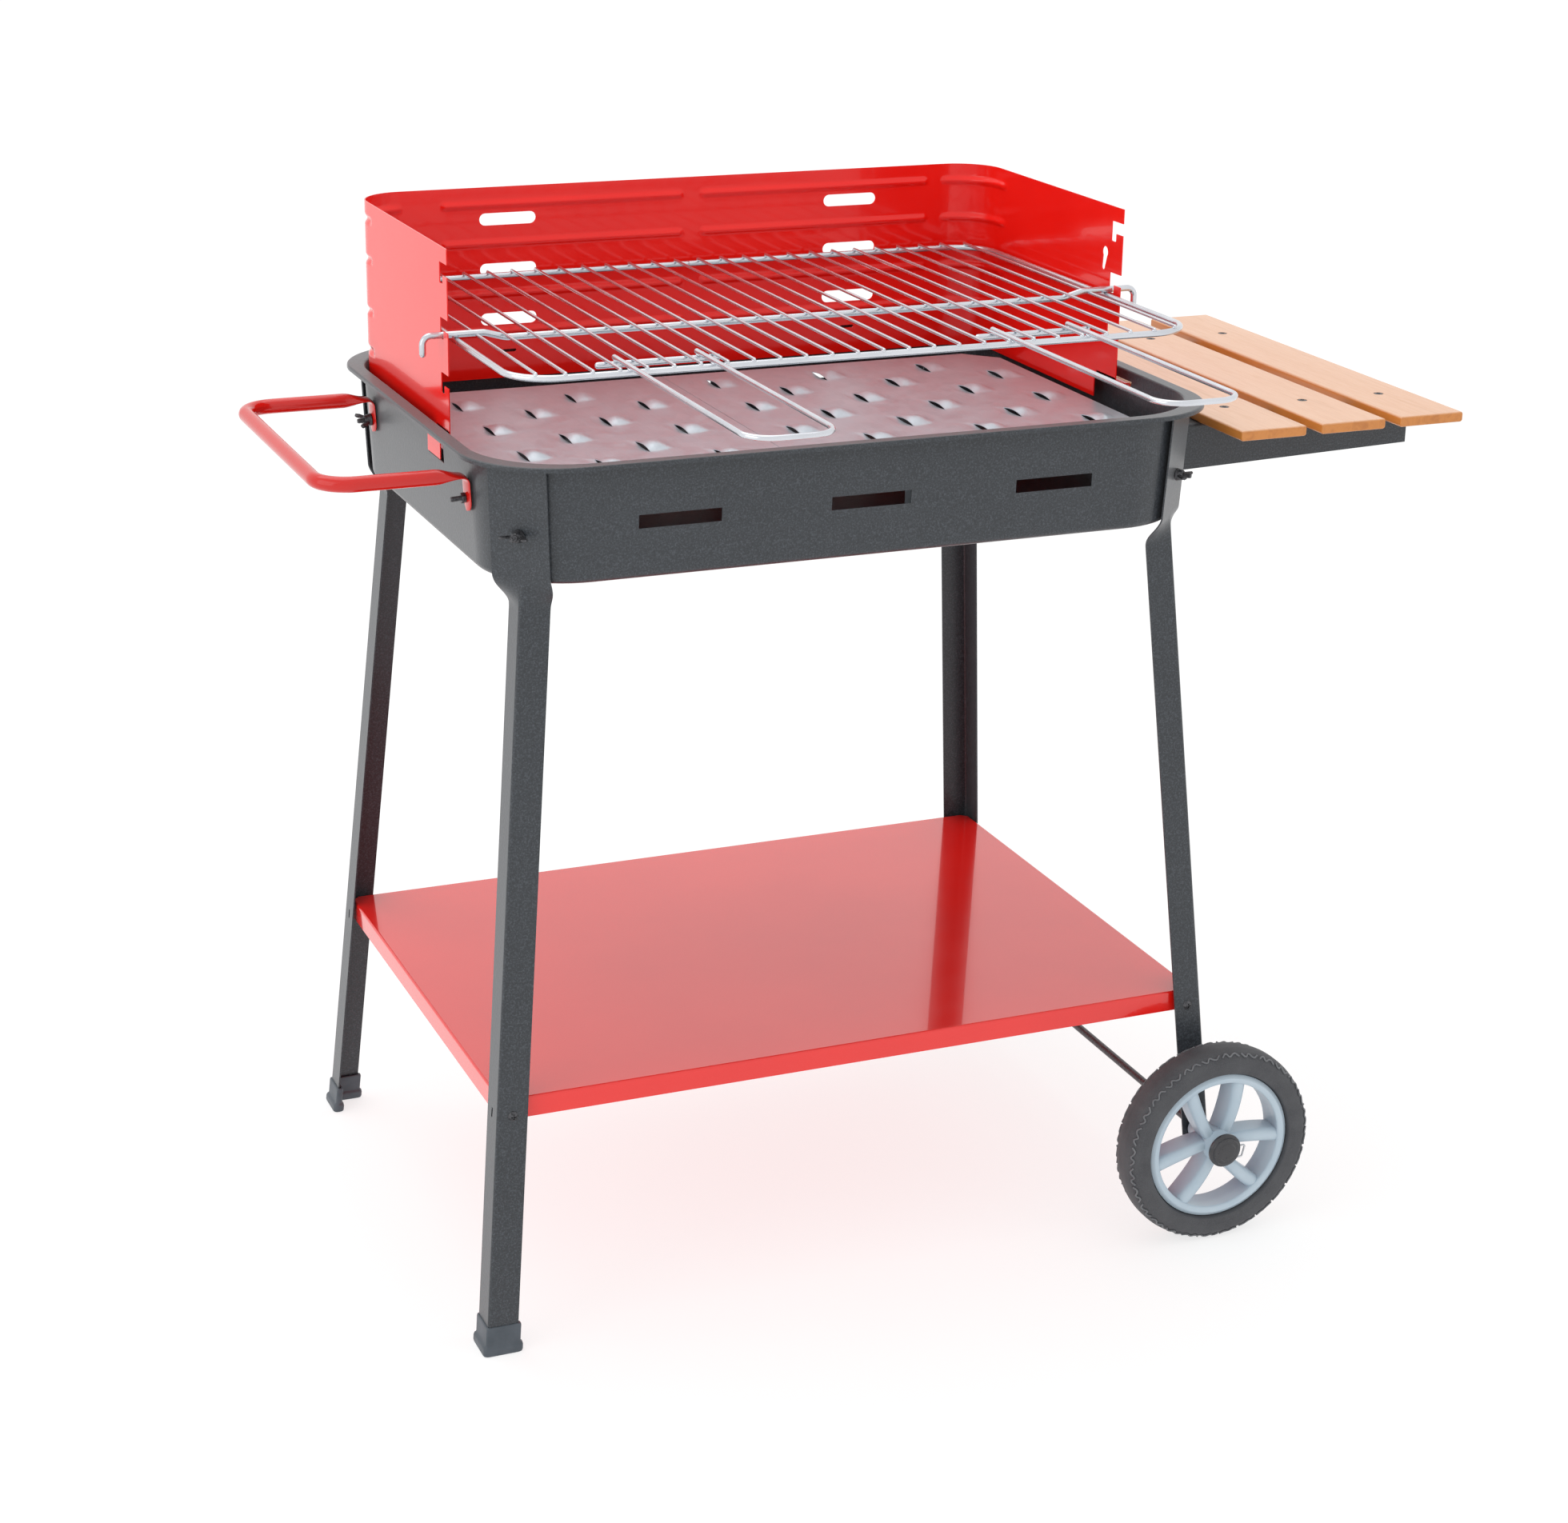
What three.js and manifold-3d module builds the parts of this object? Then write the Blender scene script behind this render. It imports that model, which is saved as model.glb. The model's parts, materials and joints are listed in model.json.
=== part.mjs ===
import * as THREE from 'three';
import { mergeVertices } from 'three/addons/utils/BufferGeometryUtils.js';
import Module from 'manifold-3d';

// A charcoal trolley barbecue. Millimetres, +Z up, the floor at z = 0,
// -Y is the front, the carrying handle is at -X and the wheels and side shelf at +X.

const wasm = await Module();
wasm.setup();

// ---------------------------------------------------------------- dimensions
const GAP = 0.3; // clearance between pieces that touch

const rim = { halfX: 360, halfY: 263, top: 820, radius: 86, width: 13, thick: 1.5, lip: 4 };
const tray = { depth: 109, taper: 6.5, sheet: 1, fillet: 7, ease: 14, cornerSegments: 6 };
tray.bottom = rim.top - tray.depth;
tray.centreX = rim.halfX - rim.radius; // centre of the corner arcs
tray.centreY = rim.halfY - rim.radius;
tray.radiusTop = rim.radius - rim.width;

const vent = { centres: [-181, 0, 181], width: 77, low: 757, high: 769.5 };
const hookSlot = { front: -86, rear: -38, low: 787, high: 816, rightLow: 804, rightHigh: 810 };

const screen = {
  shiftX: -3, halfX: 335, back: 228, front: -80, low: 787, high: 977,
  radius: 45, sheet: 1, cornerSegments: 6, tabRear: -41, tabLow: 789.5, tabTop: 808,
  tabOutLeft: 0.9, tabOutRight: 1.5,
};
const notch = { tops: [963, 913.5, 864], entry: 11.5, pocket: 7.8, back: -58, lip: -67.3 };
const rib = { rows: [960, 922, 872, 834], radius: 3.4 };
const draughtSlot = { centres: [-181, 185], width: 58, height: 12, rows: [945.5, 896, 846.5] };

const grid = {
  halfX: 325, front: -236, rear: 216, z: 892, wire: 3, rod: 1.5, radius: 40,
  rods: 26, pitch: 24.5, midY: -62.5, hookX: 356, hookDrop: 19, weld: 5,
};
const gridHandle = {
  centres: [-185, 177], halfWidth: 38, front: -510, root: -192, wire: 2.5, radius: 24,
  crossY: -200, crossHalf: 58,
};

const grate = {
  top: 787, sheet: 0.8, left: -331, right: 322, seam: -40, front: -222, rear: 180,
  pitchX: 57, pitchY: 102, louvreLength: 38, louvreWidth: 13, lift: 4.2,
  chamfer: 30, footHalf: 18, feetLeft: [-276, -92], feetRight: [267, 62],
};

const leg = { flange: 28, sheet: 1.5, footS: 466, top: 815, endLeft: 4.5, endRight: 86 };
const boot = { height: 27, wall: 2.6, baseHeight: 9, flare: 5, play: 0.35 };
const shelf = { halfX: 355, halfY: 256, top: 241, lip: 20, sheet: 0.8, chamfer: 7 };
const shelfScrew = { x: 345, z: 227 };

const wheel = {
  radius: 100, axleX: 356, centreY: 306, rimOuter: 75, rimInner: 64, hubRadius: 13, segments: 36,
};
const axle = { radius: 4, end: 333 };

const handle = {
  radius: 7, centreY: -6.5, halfY: 153.5, outerX: 475, cornerRadius: 30, rootBend: 6,
  tabLow: 763, armZ: 795, flat: 3.4, flatWidth: 22, neck: 22,
};

const board = { width: 70, pitch: 86.5, firstX: 412, halfLength: 243, low: 785, thick: 10, round: 2.5 };
const bracket = {
  y: 165, rootX: 345.2, endX: 610, rootLow: 740, endLow: 748, sheet: 1.5, flange: 25, screwY: 150,
};

const bolt = { shank: 2.5, hole: 3, head: 5, headHeight: 3, segments: 10 };

// ----------------------------------------------------------------- materials
const paint = {
  red: { color: '#c9151b', roughness: 0.18, metalness: 0 },
  charcoal: { color: '#3d4043', roughness: 0.5, metalness: 0.1 },
  zinc: { color: '#b9bdc1', roughness: 0.35, metalness: 0.9 },
  chrome: { color: '#cfd2d5', roughness: 0.22, metalness: 1 },
  black: { color: '#1f2022', roughness: 0.5, metalness: 0.2 },
  rubber: { color: '#3b3c3f', roughness: 0.75, metalness: 0 },
  hubGrey: { color: '#a9b6c1', roughness: 0.4, metalness: 0 },
  footGrey: { color: '#5b6873', roughness: 0.55, metalness: 0 },
  pine: { color: '#cf8443', roughness: 0.45, metalness: 0 },
};

// ------------------------------------------------------------- small toolbox
function signedVolume(position, index) {
  const a = new THREE.Vector3();
  const b = new THREE.Vector3();
  const c = new THREE.Vector3();
  let six = 0;
  for (let i = 0; i < index.length; i += 3) {
    a.fromArray(position, index[i] * 3);
    b.fromArray(position, index[i + 1] * 3);
    c.fromArray(position, index[i + 2] * 3);
    six += a.dot(b.cross(c));
  }
  return six / 6;
}

// A closed three.js geometry as a manifold-3d solid, whichever way its faces ran.
function solid(geometry) {
  const plain = geometry.index ? geometry.toNonIndexed() : geometry.clone();
  plain.deleteAttribute('normal');
  plain.deleteAttribute('uv');
  const merged = mergeVertices(plain, 1e-4);
  const position = merged.attributes.position.array;
  const source = merged.index.array;
  const kept = [];
  for (let i = 0; i < source.length; i += 3) {
    const [a, b, c] = [source[i], source[i + 1], source[i + 2]];
    if (a !== b && b !== c && c !== a) kept.push(a, b, c);
  }
  if (signedVolume(position, kept) < 0) {
    for (let i = 0; i < kept.length; i += 3) [kept[i + 1], kept[i + 2]] = [kept[i + 2], kept[i + 1]];
  }
  return new wasm.Manifold(
    new wasm.Mesh({
      numProp: 3, vertProperties: new Float32Array(position), triVerts: new Uint32Array(kept),
    }),
  );
}

function union(solids) {
  return solids.reduce((sum, next) => sum.add(next));
}

function cut(body, tools) {
  return tools.reduce((rest, tool) => rest.subtract(tool), body);
}

function moved(body, matrix) {
  return body.transform(matrix.elements);
}

function box(x0, x1, y0, y1, z0, z1) {
  const geometry = new THREE.BoxGeometry(x1 - x0, y1 - y0, z1 - z0);
  return solid(geometry.translate((x0 + x1) / 2, (y0 + y1) / 2, (z0 + z1) / 2));
}

// A cylinder from point a to point b.
function rod(a, b, radius, segments) {
  const from = new THREE.Vector3(...a);
  const to = new THREE.Vector3(...b);
  const geometry = new THREE.CylinderGeometry(radius, radius, from.distanceTo(to), segments);
  const turn = new THREE.Quaternion().setFromUnitVectors(
    new THREE.Vector3(0, 1, 0), to.clone().sub(from).normalize(),
  );
  geometry.applyQuaternion(turn);
  return solid(geometry.translate(...from.add(to).multiplyScalar(0.5).toArray()));
}

// A turned piece: profile points are [radius, height], the axis is Z.
function turned(profile, segments) {
  const points = profile.map(([r, h]) => new THREE.Vector2(r, h));
  return new THREE.LatheGeometry(points, segments).rotateX(Math.PI / 2);
}

// The frame whose Z axis points along `direction`, with X kept level where it can be.
function frameAt(origin, direction) {
  const z = new THREE.Vector3(...direction).normalize();
  const x = new THREE.Vector3(-z.y, z.x, 0);
  if (x.lengthSq() < 1e-6) x.set(1, 0, 0);
  x.normalize();
  const y = new THREE.Vector3().crossVectors(z, x);
  return new THREE.Matrix4().makeBasis(x, y, z).setPosition(...origin);
}

function outline(points) {
  return new THREE.Shape(points.map(([x, y]) => new THREE.Vector2(x, y)));
}

function prism(points, depth) {
  return new THREE.ExtrudeGeometry(outline(points), { depth, bevelEnabled: false });
}

// A horizontal bar of the given cross-section: the section lies in XZ and runs along Y.
function barAlongY(section, y0, y1) {
  return prism(section, y1 - y0).rotateX(Math.PI / 2).translate(0, y1, 0);
}

// A bar whose section lies in YZ and which runs along X.
function barAlongX(section, x0, x1) {
  const geometry = prism(section, x1 - x0);
  const turn = new THREE.Matrix4().makeBasis(
    new THREE.Vector3(0, 1, 0), new THREE.Vector3(0, 0, 1), new THREE.Vector3(1, 0, 0),
  );
  return geometry.applyMatrix4(turn).translate(x0, 0, 0);
}

function arcPoints(cx, cy, radius, from, to, segments) {
  return Array.from({ length: segments + 1 }, (_, i) => {
    const angle = THREE.MathUtils.degToRad(from + ((to - from) * i) / segments);
    return [cx + radius * Math.cos(angle), cy + radius * Math.sin(angle)];
  });
}

function circlePoints(radius, segments) {
  return arcPoints(0, 0, radius, 0, 360, segments).slice(0, -1);
}

function roundedRectangle(halfX, halfY, radius, segments) {
  const x = halfX - radius;
  const y = halfY - radius;
  return [
    ...arcPoints(x, y, radius, 0, 90, segments),
    ...arcPoints(-x, y, radius, 90, 180, segments),
    ...arcPoints(-x, -y, radius, 180, 270, segments),
    ...arcPoints(x, -y, radius, 270, 360, segments),
  ];
}

// A bent wire or tube: straight runs with a circular bend at each inner corner.
class BentPath extends THREE.Curve {
  constructor(corners, radii, segments) {
    super();
    const nodes = corners.map((p) => new THREE.Vector3(...p));
    this.points = [nodes[0]];
    this.tangents = [nodes[1].clone().sub(nodes[0]).normalize()];
    for (let i = 1; i < nodes.length - 1; i += 1) {
      const before = nodes[i].clone().sub(nodes[i - 1]).normalize();
      const after = nodes[i + 1].clone().sub(nodes[i]).normalize();
      const angle = before.angleTo(after);
      const radius = Array.isArray(radii) ? radii[i - 1] : radii;
      if (radius === 0) {
        this.points.push(nodes[i]);
        this.tangents.push(before);
        continue;
      }
      const start = nodes[i].clone().addScaledVector(before, -radius * Math.tan(angle / 2));
      const inward = after.clone().addScaledVector(before, -after.dot(before)).normalize();
      const steps = Math.max(1, Math.round((segments * angle) / (Math.PI / 2)));
      for (let k = 0; k <= steps; k += 1) {
        const turn = (angle * k) / steps;
        this.points.push(start.clone()
          .addScaledVector(before, radius * Math.sin(turn))
          .addScaledVector(inward, radius * (1 - Math.cos(turn))));
        this.tangents.push(
          before.clone().multiplyScalar(Math.cos(turn)).addScaledVector(inward, Math.sin(turn)),
        );
      }
    }
    this.points.push(nodes.at(-1));
    this.tangents.push(nodes.at(-1).clone().sub(nodes.at(-2)).normalize());
  }

  get steps() {
    return this.points.length - 1;
  }

  at(list, t, target = new THREE.Vector3()) {
    const place = THREE.MathUtils.clamp(t, 0, 1) * this.steps;
    const i = Math.min(Math.floor(place), this.steps - 1);
    return target.lerpVectors(list[i], list[i + 1], place - i);
  }

  getPoint(t, target) {
    return this.at(this.points, t, target);
  }

  getPointAt(t, target) {
    return this.getPoint(t, target);
  }

  getTangentAt(t, target) {
    return this.at(this.tangents, t, target).normalize();
  }

  getSpacedPoints() {
    return this.points.map((p) => p.clone());
  }
}

function sweep(path, section) {
  return new THREE.ExtrudeGeometry(outline(section), {
    steps: path.steps, extrudePath: path, bevelEnabled: false,
  });
}

function wire(corners, bendRadius, wireRadius, sides = 8, segments = 4) {
  return sweep(new BentPath(corners, bendRadius, segments), circlePoints(wireRadius, sides));
}

const model = new THREE.Group();

// Every piece becomes one named mesh with a material of its own.
function addPiece(name, body, look) {
  const { vertProperties, triVerts } = body.getMesh();
  const indexed = new THREE.BufferGeometry();
  indexed.setAttribute('position', new THREE.BufferAttribute(new Float32Array(vertProperties), 3));
  indexed.setIndex(new THREE.BufferAttribute(new Uint32Array(triVerts), 1));
  const geometry = indexed.toNonIndexed();
  geometry.computeVertexNormals();
  const mesh = new THREE.Mesh(geometry, new THREE.MeshStandardMaterial(look));
  mesh.name = name;
  model.add(mesh);
}

// ---------------------------------------------------------- tapered fire tray
function wallRadius(z) {
  return tray.radiusTop - (tray.taper * (rim.top - z)) / tray.depth;
}

function wallHalfX(z) {
  return tray.centreX + wallRadius(z);
}

function wallHalfY(z) {
  return tray.centreY + wallRadius(z);
}

// The wall's corners are rounder than the rim's: their arcs are centred this much further in.
function easeAt(radius) {
  const share = (rim.radius - radius) / rim.width;
  return tray.ease * THREE.MathUtils.clamp(share, 0, 1);
}

// A ring turned about one corner and then pulled apart into a rounded rectangle.
function stretchedRing(profile, segmentsPerCorner) {
  const count = 4 * segmentsPerCorner;
  const half = Math.PI / count;
  const points = profile.map(([r, z]) => new THREE.Vector2(r / Math.cos(half), z));
  points.push(points[0].clone());
  const ring = new THREE.LatheGeometry(points, count, half);
  ring.rotateX(Math.PI / 2);
  const position = ring.attributes.position;
  for (let i = 0; i < position.count; i += 1) {
    const x = position.getX(i);
    const y = position.getY(i);
    const side = Math.hypot(x, y) * Math.cos(half);
    const ease = easeAt(side);
    const grow = (side + ease) / side;
    position.setX(i, x * grow + Math.sign(x) * (tray.centreX - ease));
    position.setY(i, y * grow + Math.sign(y) * (tray.centreY - ease));
  }
  return ring;
}

function cornerFrame(sideX, sideY, z, distance) {
  const d = Math.SQRT1_2;
  const origin = [
    sideX * (tray.centreX - tray.ease + (distance + tray.ease) * d),
    sideY * (tray.centreY - tray.ease + (distance + tray.ease) * d),
    z,
  ];
  return frameAt(origin, [sideX, sideY, 0]);
}

const corners = [
  { name: 'front_left', x: -1, y: -1 },
  { name: 'rear_left', x: -1, y: 1 },
  { name: 'front_right', x: 1, y: -1 },
  { name: 'rear_right', x: 1, y: 1 },
];
const legBoltZ = 754;
const handleBoltZ = 775;
const handleBoltY = [handle.centreY - handle.halfY, handle.centreY + handle.halfY];
const bracketBoltZ = [752, 772];

function buildTray() {
  const top = rim.top;
  const low = tray.bottom;
  const rTop = tray.radiusTop;
  const rLow = wallRadius(low + tray.fillet);
  const f = tray.fillet;
  const s = tray.sheet;
  const fillet = (radius, steps) => arcPoints(rLow - f, low + f, radius, 0, -90, steps);
  const profile = [
    [rim.radius, top], [rim.radius, top - rim.lip], [rim.radius - s, top - rim.lip],
    [rim.radius - s, top - rim.thick], [rTop, top - rim.thick],
    ...fillet(f, 3),
    ...fillet(f - s, 3).reverse(),
    [rTop - s, top],
  ];
  const walls = solid(stretchedRing(profile, tray.cornerSegments));
  const floorInset = 0.4;
  const floorOutline = roundedRectangle(
    tray.centreX + rLow - f + floorInset,
    tray.centreY + rLow - f + floorInset,
    rLow - f + floorInset + tray.ease,
    tray.cornerSegments,
  );
  const floor = solid(prism(floorOutline, s).translate(0, 0, low));
  const tools = [];
  for (const x of vent.centres) {
    for (const side of [-1, 1]) {
      const outer = side * (wallHalfY(vent.low) + 8);
      const inner = side * (wallHalfY(vent.low) - 12);
      tools.push(box(
        x - vent.width / 2, x + vent.width / 2,
        Math.min(outer, inner), Math.max(outer, inner), vent.low, vent.high,
      ));
    }
  }
  for (const side of [-1, 1]) {
    const low = side < 0 ? hookSlot.low : hookSlot.rightLow;
    const high = side < 0 ? hookSlot.high : hookSlot.rightHigh;
    const outer = side * (wallHalfX(low) + 8);
    const inner = side * (wallHalfX(low) - 8);
    tools.push(box(
      Math.min(outer, inner), Math.max(outer, inner), hookSlot.front, hookSlot.rear, low, high,
    ));
  }
  for (const corner of corners) {
    const hole = rod([0, 0, -8], [0, 0, 8], bolt.hole, bolt.segments);
    tools.push(moved(hole, cornerFrame(corner.x, corner.y, legBoltZ, wallRadius(legBoltZ))));
  }
  for (const y of handleBoltY) {
    const hole = rod([0, 0, -8], [0, 0, 8], bolt.hole, bolt.segments);
    tools.push(moved(hole, leftWallFrame(y, handleBoltZ, 0)));
  }
  for (const side of [-1, 1]) {
    for (const z of bracketBoltZ) {
      const y = side * bracket.screwY;
      tools.push(rod([bracket.rootX - 11, y, z], [bracket.rootX + 5, y, z], bolt.hole, bolt.segments));
    }
  }
  return cut(walls.add(floor), tools);
}
addPiece('brazier_tray', buildTray(), paint.charcoal);

// ------------------------------------------------------------------ windshield
function screenPlan(inset) {
  const x = screen.halfX - inset;
  const back = screen.back - inset;
  const r = screen.radius - inset;
  return [
    [x, screen.front], ...arcPoints(x - r, back - r, r, 0, 90, screen.cornerSegments),
    ...arcPoints(-x + r, back - r, r, 90, 180, screen.cornerSegments), [-x, screen.front],
  ];
}

function stadium(cx, cz, width, height, segments = 4) {
  const r = height / 2;
  const half = width / 2 - r;
  return [
    ...arcPoints(cx + half, cz, r, -90, 90, segments), ...arcPoints(cx - half, cz, r, 90, 270, segments),
  ];
}

function buildScreen() {
  const height = screen.high - screen.low;
  const sheet = [...screenPlan(0), ...screenPlan(screen.sheet).reverse()];
  let body = solid(prism(sheet, height).translate(0, 0, screen.low));

  // Embossed stiffening ribs, kept to the inner face of the sheet.
  const ribs = [];
  const inner = screen.back - screen.sheet;
  const round = new BentPath([
    [screen.halfX - 1, 168, 0], [screen.halfX - 1, inner + 0.5, 0], [292, inner + 0.5, 0],
  ], screen.radius - 1, 6);
  for (const z of rib.rows) {
    for (const [x0, x1] of [[-250, 4], [20, 274]]) {
      const bar = new THREE.CapsuleGeometry(rib.radius, x1 - x0 - 2 * rib.radius, 2, 6);
      bar.rotateZ(Math.PI / 2).translate((x0 + x1) / 2, inner + 1, z);
      ribs.push(solid(bar));
    }
    for (const side of [-1, 1]) {
      const curve = sweep(round, circlePoints(rib.radius - 0.6, 6)).scale(side, 1, 1).translate(0, 0, z);
      ribs.push(solid(curve));
    }
  }
  const room = solid(prism(screenPlan(screen.sheet / 2), height).translate(0, 0, screen.low));
  body = body.add(union(ribs).intersect(room));

  // Draught slots, hanger slots and the open front corners below the tray rim.
  const tools = [];
  for (const x of draughtSlot.centres) {
    for (const z of draughtSlot.rows) {
      const slot = stadium(x, z, draughtSlot.width, draughtSlot.height);
      tools.push(solid(barAlongY(slot, inner - 8, inner + 8)));
    }
    tools.push(box(x - 8, x + 8, inner - 6, inner + 6, 813, 815.5));
  }
  for (const side of [-1, 1]) {
    const x0 = side * screen.halfX - 5;
    const x1 = side * screen.halfX + 5;
    for (const top of notch.tops) {
      tools.push(box(x0, x1, screen.front - 5, notch.back, top - notch.entry, top));
      tools.push(box(x0, x1, notch.lip, notch.back, top - notch.entry - notch.pocket, top - 2));
    }
    tools.push(box(x0, x1, screen.front - 5, screen.tabRear + 4, screen.low - 5, screen.tabTop - 1));
  }
  const key = [...arcPoints(-47, 931, 5.6, -40, 220, 6), ...arcPoints(-44.5, 916.5, 3, 200, 350, 3)];
  tools.push(solid(barAlongX(key, screen.halfX - 5, screen.halfX + 5)));
  body = cut(body, tools);

  // Hook tabs, joggled outwards into the slots of the tray wall.
  for (const side of [-1, 1]) {
    const wall = wallHalfX(805);
    const face = side < 0 ? wall + screen.shiftX + screen.tabOutLeft : wall - screen.shiftX + screen.tabOutRight;
    const a = side * (screen.halfX - screen.sheet);
    const b = side * face;
    const c = side * (face - screen.sheet);
    const shelfPart = box(
      Math.min(a, b), Math.max(a, b),
      screen.front, screen.tabRear, screen.tabTop - screen.sheet, screen.tabTop,
    );
    const drop = box(
      Math.min(b, c), Math.max(b, c), screen.front, screen.tabRear, screen.tabLow, screen.tabTop,
    );
    body = body.add(shelfPart).add(drop);
  }
  return body.translate([screen.shiftX, 0, 0]);
}
addPiece('windshield', buildScreen(), paint.red);

// ---------------------------------------------------------------- cooking grid
function buildGrid() {
  const g = grid;
  const parts = [];
  const open = 0.4;
  parts.push(solid(wire([
    [open, g.rear, g.z], [g.halfX, g.rear, g.z], [g.halfX, g.front, g.z],
    [-g.halfX, g.front, g.z], [-g.halfX, g.rear, g.z], [-open, g.rear, g.z],
  ], g.radius, g.wire, 8, 5)));
  parts.push(rodAlongX(-g.weld, g.weld, g.rear, g.z, g.wire + 0.3));

  // The middle bar climbs over the side wires and ends in two hooks.
  const high = g.z + 2 * g.wire - 0.4;
  const half = [
    [g.halfX - 42, g.midY, g.z], [g.halfX - 26, g.midY, high], [g.hookX, g.midY, high],
    [g.hookX, g.midY, high - g.hookDrop],
  ];
  const other = half.map(([x, y, z]) => [-x, y, z]).reverse();
  parts.push(solid(wire([...other, ...half], [6, 8, 8, 8, 8, 6], g.wire, 8, 3)));

  const rodZ = g.z + g.wire + g.rod - 0.4;
  for (let i = 0; i < g.rods; i += 1) {
    const x = (i - (g.rods - 1) / 2) * g.pitch;
    const beyond = Math.max(0, Math.abs(x) - (g.halfX - g.radius));
    const inset = g.radius - Math.sqrt(g.radius * g.radius - beyond * beyond);
    parts.push(rod([x, g.front + inset - 2.5, rodZ], [x, g.rear - inset + 2.5, rodZ], g.rod, 6));
  }
  for (const x of gridHandle.centres) {
    const h = gridHandle;
    parts.push(rodAlongX(x - h.crossHalf, x + h.crossHalf, h.crossY, g.z, g.wire));
    const z = g.z + g.wire + h.wire - 0.4;
    parts.push(solid(wire([
      [x - h.halfWidth, h.root, z], [x - h.halfWidth, h.front, z],
      [x + h.halfWidth, h.front, z], [x + h.halfWidth, h.root, z],
    ], h.radius, h.wire, 8, 5)));
  }
  return union(parts);
}

function rodAlongX(x0, x1, y, z, radius) {
  return rod([x0, y, z], [x1, y, z], radius, 8);
}
addPiece('cooking_grid', buildGrid(), paint.chrome);

// -------------------------------------------------------------- charcoal grates
function buildGrate(side, outerX, feet, firstX, firstY, columns) {
  const g = grate;
  const seamX = g.seam + side * GAP;
  const c = g.chamfer;
  const plan = [
    [seamX, g.front], [seamX, g.rear], [outerX - side * c, g.rear],
    [outerX, g.rear - c], [outerX, g.front + c], [outerX - side * c, g.front],
  ];
  let body = solid(prism(plan, g.sheet).translate(0, 0, g.top - g.sheet));
  const floorZ = tray.bottom + tray.sheet + GAP;
  for (const x of feet) {
    for (const [y0, y1] of [[g.front, g.front + g.sheet], [g.rear - g.sheet, g.rear]]) {
      body = body.add(box(x - g.footHalf, x + g.footHalf, y0, y1, floorZ, g.top));
    }
  }

  // Each louvre is a D-shaped flap, still joined along its straight +X edge and tilted up.
  const eye = arcPoints(0, 0, 1, 90, 270, 5).map(([u, v]) => [u * g.louvreWidth, (v * g.louvreLength) / 2]);
  const flaps = [];
  const slits = [];
  for (let i = 0; i < columns; i += 1) {
    const x = firstX + i * g.pitchX + g.louvreWidth / 2;
    const start = firstY - (i % 2) * (g.pitchY / 2);
    for (let y = start; y > g.front + 30; y -= g.pitchY) {
      const flap = prism(eye, g.sheet).translate(0, 0, -g.sheet);
      flap.rotateY(Math.atan2(g.lift, g.louvreWidth)).translate(x, y, g.top);
      flaps.push(solid(flap));
      slits.push(solid(prism(eye.map(([u, v]) => [u - 0.4, v]), 8).translate(x, y, g.top - 4)));
    }
  }
  return cut(body, slits).add(union(flaps));
}
addPiece('charcoal_grate_left', buildGrate(-1, grate.left, grate.feetLeft, -264, 119, 4), paint.zinc);
addPiece('charcoal_grate_right', buildGrate(1, grate.right, grate.feetRight, 4, 131, 6), paint.zinc);

// ------------------------------------------------------------------------ legs
const cornerDiagonal = (tray.centreX + tray.centreY - 2 * tray.ease) * Math.SQRT1_2 + tray.ease;
const creaseLow = cornerDiagonal + wallRadius(tray.bottom) + GAP + leg.sheet + 0.1;

// Distance of the leg's outer crease from the middle, along the 45 degree diagonal.
function creaseAt(z) {
  if (z < tray.bottom) return leg.footS + ((creaseLow - leg.footS) * z) / tray.bottom;
  return cornerDiagonal + wallRadius(z) + GAP + leg.sheet + 0.1;
}

// Corner of the leg's L at height z, as [x, y] for the given sides.
function creasePoint(sideX, sideY, z) {
  const sum = creaseAt(z) * Math.SQRT2;
  const difference = tray.centreX - tray.centreY;
  return [(sideX * (sum + difference)) / 2, (sideY * (sum - difference)) / 2];
}

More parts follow.
